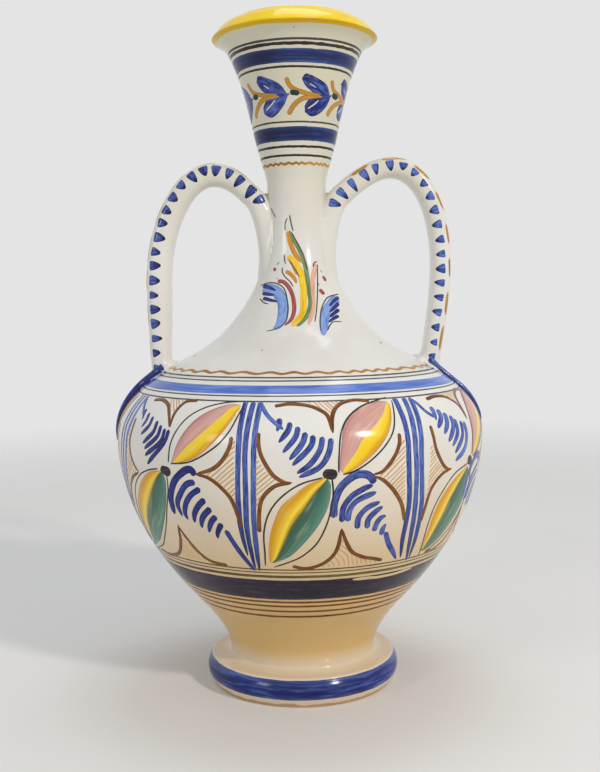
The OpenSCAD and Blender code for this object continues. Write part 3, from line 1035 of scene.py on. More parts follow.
class Painter:
    """A painter at one zone of the wall, with a brush for each pigment."""

    across = np.array([-1, -0.82, -0.4, 0.4, 0.82, 1])
    dome = np.array([0, 0.85, 1, 1, 0.85, 0])
    round = 0.98
    sunk = -0.16
    tip = 0.06
    short = 16.0
    spacing = 0.85
    sections = (13, 80)
    ragged = 0.045
    leaf_ragged = 0.12
    slots = {"cobalt": "glaze_cobalt", "yellow": "glaze_yellow"}

    def __init__(self, zone: str, seed: int, hand: float = 0.22) -> None:
        """Starts with clean brushes.

        Args:
            zone: Name of the zone, which the pieces take.
            seed: Seed of the hand's small errors.
            hand: How far a mark strays.
        """
        self.zone = zone
        self.chance = random.Random(seed)
        self.hand = hand
        self.skins: dict[Finish, PaintSkin] = {}

    def skin(self, finish: Finish) -> PaintSkin:
        """The gathered marks of one finish."""
        slot = next((slot for word, slot in self.slots.items() if word in finish.name), "glaze_cream")
        return self.skins.setdefault(finish, PaintSkin(f"{self.zone}_{finish.name}", finish, slot))

    def wobble(self, run: np.ndarray, amount: float) -> np.ndarray:
        """Slow and quick waves of an unsteady hand along a mark."""
        slow, quick = self.chance.uniform(0, math.tau), self.chance.uniform(0, math.tau)
        return amount * (np.sin(run / 7.3 + slow) + 0.6 * np.sin(run / 2.1 + quick))

    def strayed(self, path: Sequence[Pair], scale: np.ndarray) -> np.ndarray:
        """A path whose places stray a little, as a hand's do."""
        shift = [[self.chance.gauss(0, self.hand), self.chance.gauss(0, self.hand)] for _ in path]
        return np.array(path, float) + np.array(shift) / scale

    def stroke(self, mark: Mark, origin: float = 0.0, relief: np.ndarray | None = None) -> None:
        """Lays one brush mark.

        Args:
            mark: The mark.
            origin: Angle that its path is measured from.
            relief: Extra height at even steps along the mark, where it stands up as clay.
        """
        scale = WALL.scale(np.mean([p[1] for p in mark.path]))
        path = self.strayed(mark.path, scale)
        rough = float(np.sum(np.hypot(*(np.diff(path, axis=0) * scale).T)))
        fewest, most = self.sections
        count = int(min(most, max(fewest, rough / self.spacing)))
        line, run = through(path, count, scale)
        length = run[-1]
        if length < self.short:
            spots = length * (1 - np.cos(np.linspace(0, math.pi, count))) / 2
            line = np.stack([np.interp(spots, run, line[:, i]) for i in (0, 1)], -1)
            run = spots
        land = np.clip(run / max(mark.head, 0.05), 0, 1)
        leave = np.clip((length - run) / max(mark.tail, 0.05), 0, 1)
        press = np.sqrt(1 - (1 - land) ** 2) * np.sqrt(1 - (1 - leave) ** 2)
        half = mark.width / 2 * (self.tip + (1 - self.tip) * press)
        step = WALL.scale(line[:, 1])
        way = np.gradient(line, run, axis=0) * step
        way /= np.linalg.norm(way, axis=1, keepdims=True) + 1e-12
        normal = np.stack([-way[:, 1], way[:, 0]], -1) / step
        ragged = np.stack([1 + self.wobble(run, self.ragged), 1 + self.wobble(run, self.ragged)], -1)
        reach = half[:, None] * np.where(self.across < 0, ragged[:, :1], ragged[:, 1:]) * self.across
        grid = line[:, None, :] + reach[..., None] * normal[:, None, :]
        raised = np.zeros(count)
        if relief is not None:
            raised = np.interp(run / length, np.linspace(0, 1, len(relief)), relief)
        swell = np.sqrt(1 - self.round * self.across ** 2)
        lift = mark.lift * self.dome[None, :] + raised[:, None] * swell[None, :]
        top = WALL.places(origin + grid[..., 0], grid[..., 1], lift)
        low = grid[:, [0, -1]]
        under = WALL.places(origin + low[..., 0], low[..., 1], self.sunk)
        # Paint gathering towards the end, which on the belly's uprights also lays painted shade low down.
        gather = mark.pool * np.clip((run / length - mark.pool_from) / (1 - mark.pool_from), 0, 1) ** 1.5
        self.skin(mark.pigment.value).lay(top, under, run, self.across, self.chance.random(), gather)

    def hatch(self, rows: Hatch, origin: float = 0.0) -> None:
        """Fills a field with hatch lines, each a little off.

        Args:
            rows: The field and its lines.
            origin: Angle that its corners are measured from.
        """
        scale = WALL.scale(np.mean([c[1] for c in rows.corners]))
        corners = np.array(rows.corners, float) * scale
        slope = math.radians(rows.slope)
        way = np.array([math.cos(slope), math.sin(slope)])
        side = np.array([-math.sin(slope), math.cos(slope)])
        level = corners @ side
        place = level.min() + rows.gap * 0.55
        while place < level.max():
            edges = zip(corners, np.roll(corners, -1, axis=0), level, np.roll(level, -1))
            meets = sorted(float((a + (b - a) * (place - u) / (v - u)) @ way)
                           for a, b, u, v in edges if (u - place) * (v - place) < 0)
            for start, end in zip(meets[::2], meets[1::2]):
                if end - start > 2.0:
                    bend = rows.bow * (end - start)
                    line = [way * t + side * (place + b)
                            for t, b in ((start, 0), ((start + end) / 2, bend), (end, 0))]
                    width = rows.width * self.chance.uniform(0.8, 1.15)
                    points = tuple(tuple(p / scale) for p in line)
                    self.stroke(Mark(rows.pigment, width, points, 0.6, 2.0, 0.2, 0.05), origin)
            place += rows.gap * self.chance.uniform(0.85, 1.15)

    def leaf(self, shape: Leaf, finish: Finish, origin: float = 0.0, wide: int = 13, count: int = 34) -> None:
        """Fills a petal or leaf between its edges.

        Args:
            shape: The leaf.
            finish: What it is painted with.
            origin: Angle that its edges are measured from.
            wide: Points across it.
            count: Sections along it.
        """
        scale = WALL.scale(shape.middle[0][1])
        given = (shape.left, shape.middle, shape.right)
        edges = [through(self.strayed(edge, scale), count, scale) for edge in given]
        run = edges[1][1]
        left, middle, right = (e[0] for e in edges)
        left = left + self.wobble(run, self.leaf_ragged)[:, None] / scale
        right = right + self.wobble(run, self.leaf_ragged)[:, None] / scale
        across = np.linspace(-1, 1, wide)
        share = np.abs(across)[None, :, None]
        side = np.where(across[None, :, None] < 0, left[:, None], right[:, None])
        grid = middle[:, None] * (1 - share) + side * share
        lift = np.broadcast_to(shape.lift * np.sqrt(1 - self.round * across ** 8), grid.shape[:2])
        top = WALL.places(origin + grid[..., 0], grid[..., 1], lift)
        low = grid[:, [0, -1]]
        under = WALL.places(origin + low[..., 0], low[..., 1], self.sunk)
        self.skin(finish).lay(top, under, run, across, self.chance.random(), np.zeros(count))

    def pieces(self) -> list[Object]:
        """The zone's finished pieces, one for each paint."""
        return [skin.piece() for skin in self.skins.values()]


@dataclass
class ClaySection:
    """One thrown section of the vase: a closed outline turned on the wheel and glazed."""

    name: str
    replaces: tuple[str, ...]
    outline: list[Pair]
    finish: Finish
    slot: str
    sides: int = 240
    sharp: float = 38.0
    near: float = 0.12

    def build(self, lathe: LatheShape) -> Object:
        """Turns the outline and seats the section on the frame.

        Args:
            lathe: The tree that turns it.

        Returns:
            The finished piece.
        """
        start = outline_mesh(self.name, self.outline)
        made = lathe.run(self.name, start, Sides=self.sides, Material=self.finish.material())
        self.ease(made.data)
        return seat(made, self.slot, *self.replaces)

    def ease(self, mesh: Mesh) -> None:
        """Gives the outer wall the true curve's facing, so that no joint shows in its shine.

        Args:
            mesh: The turned section.
        """
        mesh.set_sharp_from_angle(angle=math.radians(self.sharp))
        middle, normal = read(mesh.polygons, "center") / MM, read(mesh.polygons, "normal")
        total = read(mesh.polygons, "loop_total", 1, np.int32)[:, 0]
        corner = read(mesh.loops, "vertex_index", 1, np.int32)[:, 0]
        inside = (middle[:, 2] > WALL.stations[0].z) & (middle[:, 2] < WALL.stations[-1].z)
        outer = np.sum(normal[:, :2] * middle[:, :2], axis=1) > 0
        kept = np.repeat(inside & outer & (np.abs(WALL.clearance(middle)) < self.near), total)
        x, y, z = (read(mesh.vertices, "co") / MM)[corner].T
        facing = np.stack([x, y, -WALL.slope(z) * np.hypot(x, y)], -1)
        facing /= np.linalg.norm(facing, axis=1, keepdims=True) + 1e-9
        mesh.normals_split_custom_set(np.where(kept[:, None], facing, 0.0).tolist())


@dataclass
class ThrownBody:
    """The seven thrown sections, from the foot ring to the lip, which meet in the middle of their slip."""

    slip: float = 0.6
    key: float = 2.5
    pedestal_joint: float = 35.5
    belly_joint: float = 174.5
    neck_joint: float = 270.0
    collar_joint: float = 356.5
    lip_joint: float = 434.5
    foot_h: float = 19.5
    foot_base_r: float = 61.5
    foot_top_r: float = 62.5
    foot_bulge: float = 4.5
    foot_bore_r: float = 49.0
    foot_rim_w: float = 3.5
    foot_seat_h: float = 6.0
    foot_worn: float = 1.4
    waist_z: float = 22.5
    floor_z: float = 46.6
    brim_edge: Pair = (55.8, 437.9)
    brim_soft: float = 0.35
    crest_r: float = 40.0
    crest_round: float = 1.6
    top: float = 450.0
    lip_bulge: float = 2.6
    fine: float = 1.6
    coarse: float = 4.0

    def seam(self, joint: float) -> float:
        """Height at the middle of a slip joint."""
        return joint + self.slip / 2

    def outer(self, low: float, high: float) -> list[Pair]:
        """The outer wall's outline, upwards."""
        return [(float(WALL.outer(z)), float(z)) for z in WALL.heights(low, high, self.fine)]

    def inner(self, high: float, low: float) -> list[Pair]:
        """The inner wall's outline, downwards."""
        return [(float(WALL.inner(z)), float(z)) for z in WALL.heights(low, high, self.coarse)[::-1]]

    def ring(self, low: float, high: float) -> list[Pair]:
        """Outline of a plain section between two joints."""
        return self.outer(self.seam(low), self.seam(high)) + self.inner(self.seam(high), self.seam(low))

    def foot_side(self, z: float) -> float:
        """Radius of the foot ring's rounded side."""
        t = z / self.foot_h
        return self.foot_base_r + (self.foot_top_r - self.foot_base_r) * t + self.foot_bulge * 4 * t * (1 - t)

    def foot_seat(self) -> Pair:
        """Radius and height of the pedestal's seat in the foot ring."""
        half = self.slip / 2
        return self.foot_top_r - self.foot_rim_w - half, self.foot_h - self.foot_seat_h + half

    def tongue(self) -> tuple[float, float, float]:
        """Radius, lower end and upper end of the pedestal's tongue under the bowl."""
        joint = self.seam(self.pedestal_joint)
        return (float(WALL.outer(joint)) + float(WALL.inner(joint))) / 2, joint, joint + self.key

    def foot_ring(self) -> list[Pair]:
        """Outline of the foot ring, with worn lower edges and a soft top edge.

        Returns:
            Radii and heights.
        """
        worn, high = self.foot_worn, self.foot_h - self.foot_worn
        seat_r, seat_z = self.foot_seat()
        low_r, high_r = self.foot_side(worn) - worn, self.foot_side(high) - worn
        bend = [(math.sin(a), math.cos(a)) for a in (math.radians(d) for d in range(0, 91, 15))]
        base = [(low_r + worn * s, worn - worn * c) for s, c in bend]
        side = [(self.foot_side(z), z) for z in np.linspace(worn, high, 16)[1:]]
        top = [(high_r + worn * c, high + worn * s) for s, c in bend[1:]]
        ledge = [(seat_r, self.foot_h), (seat_r, seat_z), (self.foot_bore_r, seat_z)]
        hole = [(self.foot_bore_r + worn - worn * c, worn - worn * s) for s, c in bend]
        return base + side + top + ledge + hole

    def pedestal(self) -> list[Pair]:
        """Outline of the pedestal, from its seat in the foot ring to its tongue under the bowl.

        Returns:
            Radii and heights.
        """
        seat_r, seat_z = self.foot_seat()
        step_r, joint, tip = self.tongue()
        waist_r = float(WALL.outer(self.waist_z))
        cove = [(waist_r + (seat_r - waist_r) * (1 - math.sin(a)),
                 self.foot_h + (self.waist_z - self.foot_h) * (1 - math.cos(a)))
                for a in (math.radians(d) for d in range(0, 90, 9))]
        return ([(self.foot_bore_r, seat_z), (seat_r, seat_z)] + cove + self.outer(self.waist_z, joint)
                + [(step_r, joint), (step_r, tip)] + self.inner(tip, self.waist_z))

    def bowl(self) -> list[Pair]:
        """Outline of the bowl and its floor.

        Returns:
            Radii and heights.
        """
        step_r, joint, bed = self.tongue()
        top = self.seam(self.belly_joint)
        base = [(0, bed), (step_r, bed), (step_r, joint)]
        return base + self.outer(joint, top) + self.inner(top, self.floor_z) + [(0, self.floor_z)]

    def lip(self) -> list[Pair]:
        """Outline of the lip: the brim's sharp edge, the bulged face, the rounded crest and the inside.

        Returns:
            Radii and heights.
        """
        low, brim = self.seam(self.lip_joint), WALL.stations[-1].z
        crest_z, end_r = self.top - self.crest_round, self.crest_r + self.crest_round
        edge_r, edge_z = self.brim_edge
        soft = self.brim_soft
        edge = [(edge_r - soft, edge_z - soft * 0.45), (edge_r - soft * 0.15, edge_z + soft * 0.1)]
        face = [(edge_r + (end_r - edge_r) * t,
                 edge_z + (crest_z - edge_z) * t + self.lip_bulge * 4 * t * (1 - t))
                for t in np.linspace(0, 1, 22)[1:-1]]
        crest = [(self.crest_r + self.crest_round * math.cos(a), crest_z + self.crest_round * math.sin(a))
                 for a in np.linspace(0, math.pi, 13)]
        return self.outer(low, brim) + edge + face + crest + self.inner(brim, low)

    def build(self) -> list[Object]:
        """Throws the seven sections.

        Returns:
            The finished pieces, upwards.
        """
        lathe = LatheShape()
        cream = "glaze_cream"
        shoulder = self.ring(self.belly_joint, self.neck_joint)
        neck = self.ring(self.neck_joint, self.collar_joint)
        collar = self.ring(self.collar_joint, self.lip_joint)
        sections = (
            ClaySection("foot", ("foot_ring", "foot_ring_slip"), self.foot_ring(), GLAZE, "glaze_cobalt"),
            ClaySection("pedestal", ("foot_pedestal",), self.pedestal(), GLAZE, cream),
            ClaySection("bowl", ("lower_bowl", "pedestal_slip"), self.bowl(), GLAZE, cream, 288),
            ClaySection("shoulder_section", ("shoulder", "belly_slip"), shoulder, GLAZE, cream, 288),
            ClaySection("neck_section", ("neck", "neck_slip"), neck, GLAZE, cream, 160),
            ClaySection("collar", ("mouth_collar", "collar_slip"), collar, GLAZE, cream, 192),
            ClaySection("lip", ("rim_lip", "lip_slip"), self.lip(), LIP, "glaze_yellow", 192),
        )
        return [section.build(lathe) for section in sections]


class Side(Enum):
    """The two handles, by the sign of X."""

    LEFT = -1
    RIGHT = 1


class Face(Enum):
    """The painted faces of a handle: two by the sign of Y, and the outer one at the front corner."""

    FRONT = -1
    BACK = 1
    OUTER = 0


def upright(rows: np.ndarray) -> np.ndarray:
    """Rows of X and Z as places or directions in the handles' plane."""
    return np.stack([rows[:, 0], np.zeros(len(rows)), rows[:, 1]], -1)


@dataclass
class Handle:
    """A pulled strap handle, pressed down the neck at its root and on to the shoulder at its foot."""

    deep = np.array([0, 1.0, 0])
    side: Side
    crest: Pair
    flank: Pair
    foot_down: float
    crest_thick: float
    flank_thick: float
    width: float = 22.0
    thick: float = 15.0
    foot_thick: float = 13.0
    throat_z: float = 341.0
    shoulder_z: float = 226.5
    root_down: float = 54.0
    root_below: float = 16.0
    bend_down: float = 7.0
    bend_out: float = 10.0
    bend_rise: float = 42.0
    root_proud: float = 1.5
    foot_sunk: float = 11.0
    root_lead: float = 5.0
    root_pull: float = 17.0
    bend_pull: float = 10.0
    crest_pulls: Pair = (13.0, 21.0)
    flank_pulls: Pair = (38.0, 26.0)
    foot_pull: float = 22.0
    edge: float = 0.7
    root_ease: float = 6.0
    crotch_ease: float = 3.0
    least_ease: float = 1.5
    foot_ease: float = 7.0
    foot_turn: float = 3.5
    buried: float = 3.0
    seam_sunk: float = 0.15
    seam_near: float = 0.4
    facet: float = 1.5
    around: int = 60

    def knots(self) -> list[tuple[np.ndarray, np.ndarray, float, float, float]]:
        """The turns of the route.

        Returns:
            Place, direction, pull before and after, and thickness at each turn.
        """
        root_z, bend_z = self.throat_z - self.root_down, self.throat_z - self.bend_down
        foot_z = self.shoulder_z - self.foot_down
        root_x = float(WALL.outer(root_z)) - self.thick / 2 + self.root_proud
        foot_x = float(WALL.outer(foot_z))
        bend = np.array([float(WALL.outer(bend_z)) + self.bend_out, bend_z])
        rise = math.radians(self.bend_rise)
        climb = np.array([math.cos(rise), math.sin(rise)])
        crest = np.array([self.crest[0], self.throat_z + self.crest[1]])
        flank = np.array([self.flank[0], self.throat_z - self.flank[1]])
        lean = (foot_x - flank[0]) / (flank[1] - foot_z)
        foot = np.array([foot_x + lean * self.foot_sunk, foot_z - self.foot_sunk])
        fall = (foot - flank) / np.linalg.norm(foot - flank)
        up, out, down = np.array([0, 1.0]), np.array([1.0, 0]), np.array([0, -1.0])
        return [
            (np.array([root_x, root_z - self.root_below]), up, self.root_lead, self.root_lead, self.thick),
            (np.array([root_x, root_z]), up, self.root_lead, self.root_pull, self.thick),
            (bend, climb, self.bend_pull, self.bend_pull, self.thick),
            (crest, out, *self.crest_pulls, self.crest_thick),
            (flank, down, *self.flank_pulls, self.flank_thick),
            (foot, fall, self.foot_pull, self.foot_pull, self.foot_thick),
        ]

    def route(self) -> tuple[np.ndarray, np.ndarray, np.ndarray, np.ndarray]:
        """The route in even steps.

        Returns:
            Places, directions, thicknesses, and the number of the turn that each step follows.
        """
        knots = self.knots()
        places, ways, thick, turns = [], [], [], []
        for number, (a, b) in enumerate(zip(knots, knots[1:])):
            p = [a[0], a[0] + a[3] * a[1], b[0] - b[2] * b[1], b[0]]
            length = float(np.linalg.norm(b[0] - a[0]))
            count = max(6, int(length / self.facet))
            last = number == len(knots) - 2
            t = np.linspace(0, 1, count, endpoint=last)[:, None]
            places.append((1 - t) ** 3 * p[0] + 3 * t * (1 - t) ** 2 * p[1]
                          + 3 * t ** 2 * (1 - t) * p[2] + t ** 3 * p[3])
            way = (1 - t) ** 2 * (p[1] - p[0]) + 2 * t * (1 - t) * (p[2] - p[1]) + t ** 2 * (p[3] - p[2])
            ways.append(way / np.linalg.norm(way, axis=1, keepdims=True))
            thick.append((a[4] + (b[4] - a[4]) * t * t * (3 - 2 * t))[:, 0])
            turns.append(np.full(count, number) + t[:, 0])
        return np.vstack(places), np.vstack(ways), np.concatenate(thick), np.concatenate(turns)

    def outline(self, thick: np.ndarray, turn: np.ndarray) -> tuple[np.ndarray, np.ndarray]:
        """Edge of the section, flat outside and round towards the loop.

        Args:
            thick: Thickness of the strap.
            turn: Angles round the section.

        Returns:
            Depth and height of the edge.
        """
        c, s = np.cos(turn), np.sin(turn)
        depth = self.width / 2 * np.sign(c) * np.abs(c) ** self.edge
        return depth, thick / 2 * np.where(s > 0, np.abs(s) ** self.edge, s)

    def eased(self, centre: np.ndarray, ray: np.ndarray, start: np.ndarray, ease: np.ndarray) -> np.ndarray:
        """How far a section reaches along its rays once it is eased into the wall.

        Args:
            centre: Middle of each section.
            ray: Direction of each ray.
            start: Reach of the bare handle.
            ease: How far the easing spreads.

        Returns:
            The reach of each ray.
        """
        low, high = start.copy(), start + ease
        for _ in range(26):
            mid = (low + high) / 2
            own = mid - start
            wall = WALL.clearance(centre + ray * mid[..., None])
            near = np.maximum(ease - np.abs(own - wall), 0) / ease
            joined = np.minimum(own, wall) - near ** 2 * ease / 4
            low, high = np.where(joined < 0, mid, low), np.where(joined < 0, high, mid)
        return high

    def surface(self) -> np.ndarray:
        """The strap, eased into the wall at both ends and buried a little in it.

        Returns:
            Points, ring by ring, in millimetres.
        """
        places, ways, thick, turns = self.route()
        turn = np.linspace(0, math.tau, self.around, endpoint=False)
        depth, height = self.outline(thick[:, None], turn[None, :])
        centre, normal = upright(places), upright(ways[:, ::-1] * (-1, 1))
        spoke = depth[..., None] * self.deep + height[..., None] * normal[:, None]
        start = np.linalg.norm(spoke, axis=-1)
        ray = spoke / start[..., None]
        outer = np.clip((np.sin(turn) + 0.7) / 1.3, 0, 1)[None, :]
        root = self.root_ease + (self.crotch_ease - self.root_ease) * outer
        fade = np.clip(turns, 0, 1)[:, None]
        root = self.least_ease + (root - self.least_ease) * fade ** 2 * (3 - 2 * fade)
        ease = np.where(turns[:, None] < self.foot_turn, root, self.foot_ease)
        reach = self.eased(centre[:, None], ray, start, ease)
        points = centre[:, None] + ray * reach[..., None]
        stand = WALL.clearance(points)
        sink = self.seam_sunk * np.clip((reach - start) / (0.8 * ease) - 0.25, 0, 1)
        wanted = np.maximum(stand, -self.buried) - np.where(stand < self.seam_near, sink, 0)
        push = (wanted - stand) * np.sqrt(1 + WALL.slope(points[..., 2]) ** 2)
        out = np.hypot(points[..., 0], points[..., 1])
        factor = (out + push) / np.maximum(out, 1e-6)
        points[..., :2] *= factor[..., None]
        points[..., 0] *= self.side.value
        return points

    def build(self) -> Object:
        """Draws the handle and seats it on the frame.

        Returns:
            The finished piece.
        """
        word = self.side.name.lower()
        name = f"{word}_handle_clay"
        points = self.surface() * MM
        rings, around = points.shape[:2]
        faces = [(i * around + k, i * around + (k + 1) % around, (i + 1) * around + (k + 1) % around,
                  (i + 1) * around + k) for i in range(rings - 1) for k in range(around)]
        faces.append(tuple(reversed(range(around))))
        faces.append(tuple(range((rings - 1) * around, rings * around)))
        mesh = new_mesh(name, points.reshape(-1, 3), [], faces)
        mesh.shade_smooth()
        face_outwards(mesh)
        mesh.materials.append(GLAZE.material())
        made = show(name, mesh)
        return seat(made, "glaze_cream", f"{word}_handle", f"{word}_root_slip", f"{word}_foot_slip")

    def guide(self, name: str, turn: Pair, face: Face, span: Pair,
              swell: tuple[tuple[float, ...], ...] = ((0,), (1,), (1,))) -> Mesh:
        """A line along the handle for brush marks to follow.

        Args:
            name: Name of the line.
            turn: Angle of the line round the section, in degrees, up to the crest and along the side.
            face: The painted face.
            span: Turns of the route where the marks start and end.
            swell: Turns of the route, and the marks' relative length and width there.

        Returns:
            A line that keeps the facing, the way towards the loop and the marks' sizes at each point.
        """
        places, ways, thick, turns = self.route()
        keep = (turns >= span[0]) & (turns <= span[1])
        depth, height = self.outline(thick, np.radians(np.interp(turns, (3.0, 3.7), turn)))
        normal = upright(ways[:, ::-1] * (-1, 1))
        flip = np.array([self.side.value, 1, 1])
        points = upright(places) + height[:, None] * normal + depth[:, None] * self.deep
        looks, inward = np.broadcast_to(self.deep * face.value, normal.shape), -normal
        if face is Face.OUTER:
            looks, inward = (normal - self.deep) / math.sqrt(2), upright(ways)
        mesh = line_mesh(name, (points * flip * MM)[keep])
        note(mesh, {"facing": (looks * flip)[keep], "inward": (inward * flip)[keep]})
        long, wide = (np.interp(turns, swell[0], sizes)[keep] for sizes in swell[1:])
        note(mesh, {"long": long, "wide": wide})
        return mesh


@dataclass
class HandlePaint:
    """The blue wedge dabs on both faces of a handle, and the ochre dashes along its outer face."""

    handle: Handle
    clay: Object
    dab_turn: Pair
    dab_span: Pair
    dab_long: float
    dab_wide: float
    near_long: float
    dash_turn: float
    dash_wide: float
    paint: Pigment
    dabs: int = 21
    dab_ends: Pair = (0.82, 1.14)
    dab_twist: float = 0.16
    dash_long: float = 15.0
    dash_span: Pair = (2.35, 4.5)
    dash_ends: Pair = (0.8, 1.2)
    dash_twist: float = 0.05
    dashes: int = 8
    rows: int = 9
    tip: float = 0.16
    lift: float = 0.12
    reach: float = 12.0

    def swell(self) -> tuple[tuple[float, ...], ...]:
        """Turns of the route, and the dabs' relative length and width there."""
        long = (self.near_long, self.near_long, 1.0, 1.0, 0.75)
        return (1.9, 2.5, 3.1, 4.3, 4.8), long, (0.92, 0.95, 1.0, 1.0, 0.85)

    def mark(self, name: str, long: float, wide: float, pointed: bool) -> Object:
        """A thin closed mark, lying in its own plane, for the tree to repeat.

        Args:
            name: Name of the mark.
            long: Its length.
            wide: Its width.
            pointed: Whether it narrows to a point, as a wedge dab does.

        Returns:
            The mark as an object that isn't part of the vase.
        """
        skin = PaintSkin(name, Pigment.COBALT.value, "glaze_cobalt")
        run = np.linspace(0, long, self.rows)
        t = run / long
        shape = np.sqrt(1 - (2 * t - 1) ** 4)
        if pointed:
            shape = (1 - t ** 2.1) ** 0.72 * (1 - 0.24 * t) * np.sqrt(np.clip(t / 0.1 + 0.5, 0, 1))
        half = wide / 2 * (self.tip + (1 - self.tip) * shape)[:, None]
        across = Painter.across
        top = np.broadcast_arrays(run[:, None], half * across, self.lift * Painter.dome)
        under = np.broadcast_arrays(run[:, None], half * np.array([-1, 1]), Painter.sunk)
        pool = np.clip((t - 0.45) / 0.4, 0, 1) if pointed else 0.2 * t
        skin.lay(np.stack(top, -1) * MM, np.stack(under, -1) * MM, run, across, 0.5, pool)
        mesh = new_mesh(name, skin.verts, [], skin.faces)
        note(mesh, {key: skin.numbers[key] for key in ("run", "across", "pool")})
        note(mesh, {"lift": [place[2] for place in skin.verts]})
        return show(name, mesh)

    def build(self, marks: MarkShape, seed: int) -> list[Object]:
        """Paints the handle.

        Args:
            marks: The tree that repeats a mark along a line.
            seed: Seed of the hand's small errors.

        Returns:
            The painted pieces.
        """
        word = self.handle.side.name.lower()
        dab = self.mark("dab", self.dab_long, self.dab_wide, True)
        dash = self.mark("dash", self.dash_long, self.dash_wide, False)
        made = []
        for number, face in enumerate((Face.FRONT, Face.BACK)):
            name = f"{word}_{face.name.lower()}_dabs"
            turn = tuple(90 - part * face.value for part in self.dab_turn)
            guide = self.handle.guide(name, turn, face, self.dab_span, self.swell())
            least, most = self.dab_ends
            made.append(marks.run(
                name, guide, Mark=dab, Wall=self.clay, Count=self.dabs, Least=least, Most=most,
                Twist=self.dab_twist, Seed=seed + number, Reach=self.reach * MM,
                Material=self.paint.value.material()))
        name = f"{word}_outer_dashes"
        turn = 90 + self.dash_turn
        guide = self.handle.guide(name, (turn, turn), Face.OUTER, self.dash_span)
        least, most = self.dash_ends
        made.append(marks.run(
            name, guide, Mark=dash, Wall=self.clay, Count=self.dashes, Least=least, Most=most,
            Twist=self.dash_twist, Seed=seed + 5, Reach=self.reach * MM,
            Material=Pigment.OCHRE.value.material()))
        for tool in (dab, dash):
            bpy.data.objects.remove(tool)
        return [seat(piece, "glaze_cobalt" if "dabs" in piece.name else "glaze_cream") for piece in made]


@dataclass(frozen=True)
class RingStripe:
    """One ring that the painter draws while the vase turns."""

    pigment: Pigment
    height: float
    width: float
    sway: float = 0.8
    ragged: float = 0.25
    wave: float = 0.0
    waves: float = 0.0
    lift: float = 0.07
    shoulder: float = 0.88
    facet: float = 1.1

    def section(self) -> list[Pair]:
        """Cross-section of the ring.

        Returns:
            Shares across and heights off the glaze in metres.
        """
        inner = np.linspace(-self.shoulder, self.shoulder, max(4, math.ceil(self.width / self.facet)))
        top = [(-1.0, 0.0), *((float(a), self.lift * MM) for a in inner), (1.0, 0.0)]
        return [(-1.0, Painter.sunk * MM), *top, (1.0, Painter.sunk * MM)]


@dataclass
class Banding:
    """The rings of one zone, joined into one piece for each pigment."""

    blues = (Pigment.BAND, Pigment.FOOT, Pigment.NAVY)
    zone: str
    stripes: tuple[RingStripe, ...]
    sides: int = 300

    def build(self, rings: RingShape, wall: Object, seed: int) -> list[Object]:
        """Paints the rings.

        Args:
            rings: The tree that paints a ring.
            wall: Surface that the rings lie on.
            seed: Seed of the first ring.

        Returns:
            One piece for each pigment.
        """
        groups: dict[Pigment, list[Object]] = {}
        for number, stripe in enumerate(self.stripes):
            finish = stripe.pigment.value
            start = line_mesh("ring_section", [(a, lift, 0) for a, lift in stripe.section()])
            made = rings.run(
                f"{self.zone}_{finish.name}", start, Wall=wall, Sides=self.sides, Height=stripe.height * MM,
                Width=stripe.width * MM, Sway=stripe.sway * MM, Ragged=stripe.ragged, Wave=stripe.wave * MM,
                Waves=stripe.waves, Seed=float(seed + 3 * number), Material=finish.material())
            self.brush(made.data, stripe, seed + number)
            groups.setdefault(stripe.pigment, []).append(made)
        pieces = []
        for pigment, group in groups.items():
            with bpy.context.temp_override(active_object=group[0], selected_editable_objects=group):
                bpy.ops.object.join()
            group[0].name = f"{self.zone}_{pigment.value.name}"
            pieces.append(seat(group[0], "glaze_cobalt" if pigment in self.blues else "glaze_cream"))
        return pieces

    def brush(self, mesh: Mesh, stripe: RingStripe, seed: int) -> None:
        """Keeps on a ring's points how the brush ran, so that its paint streaks along it, with painted shade on
        its left side.

        Args:
            mesh: The ring.
            stripe: How it was drawn.
            seed: Seed of its tone and of where its paint gathers.
        """
        chance = random.Random(seed)
        phase, second = chance.uniform(0, math.tau), chance.uniform(0, math.tau)
        x, y, z = read(mesh.vertices, "co").T / MM
        turn, out = np.arctan2(x, -y), np.hypot(x, y)
        run = np.arcsin(np.clip(x / out, -1, 1)) * out * 0.3
        across = np.clip((z - stripe.height) / (stripe.width / 2), -1, 1) if not stripe.wave else 0 * z
        tone = np.full(len(z), chance.uniform(0.55, 0.8))
        # Paint gathers in random waves round the ring; the sin(turn - 0.2) term is painted shade, darker on the
        # vase's left and lighter on its right.
        pool = np.clip(0.28 - 0.22 * np.sin(turn - 0.2) + 0.16 * np.sin(turn * 3 + phase)
                       + 0.1 * np.sin(turn * 7 + second), 0, 0.8)
        note(mesh, {"run": run, "across": across, "tone": tone, "pool": pool})


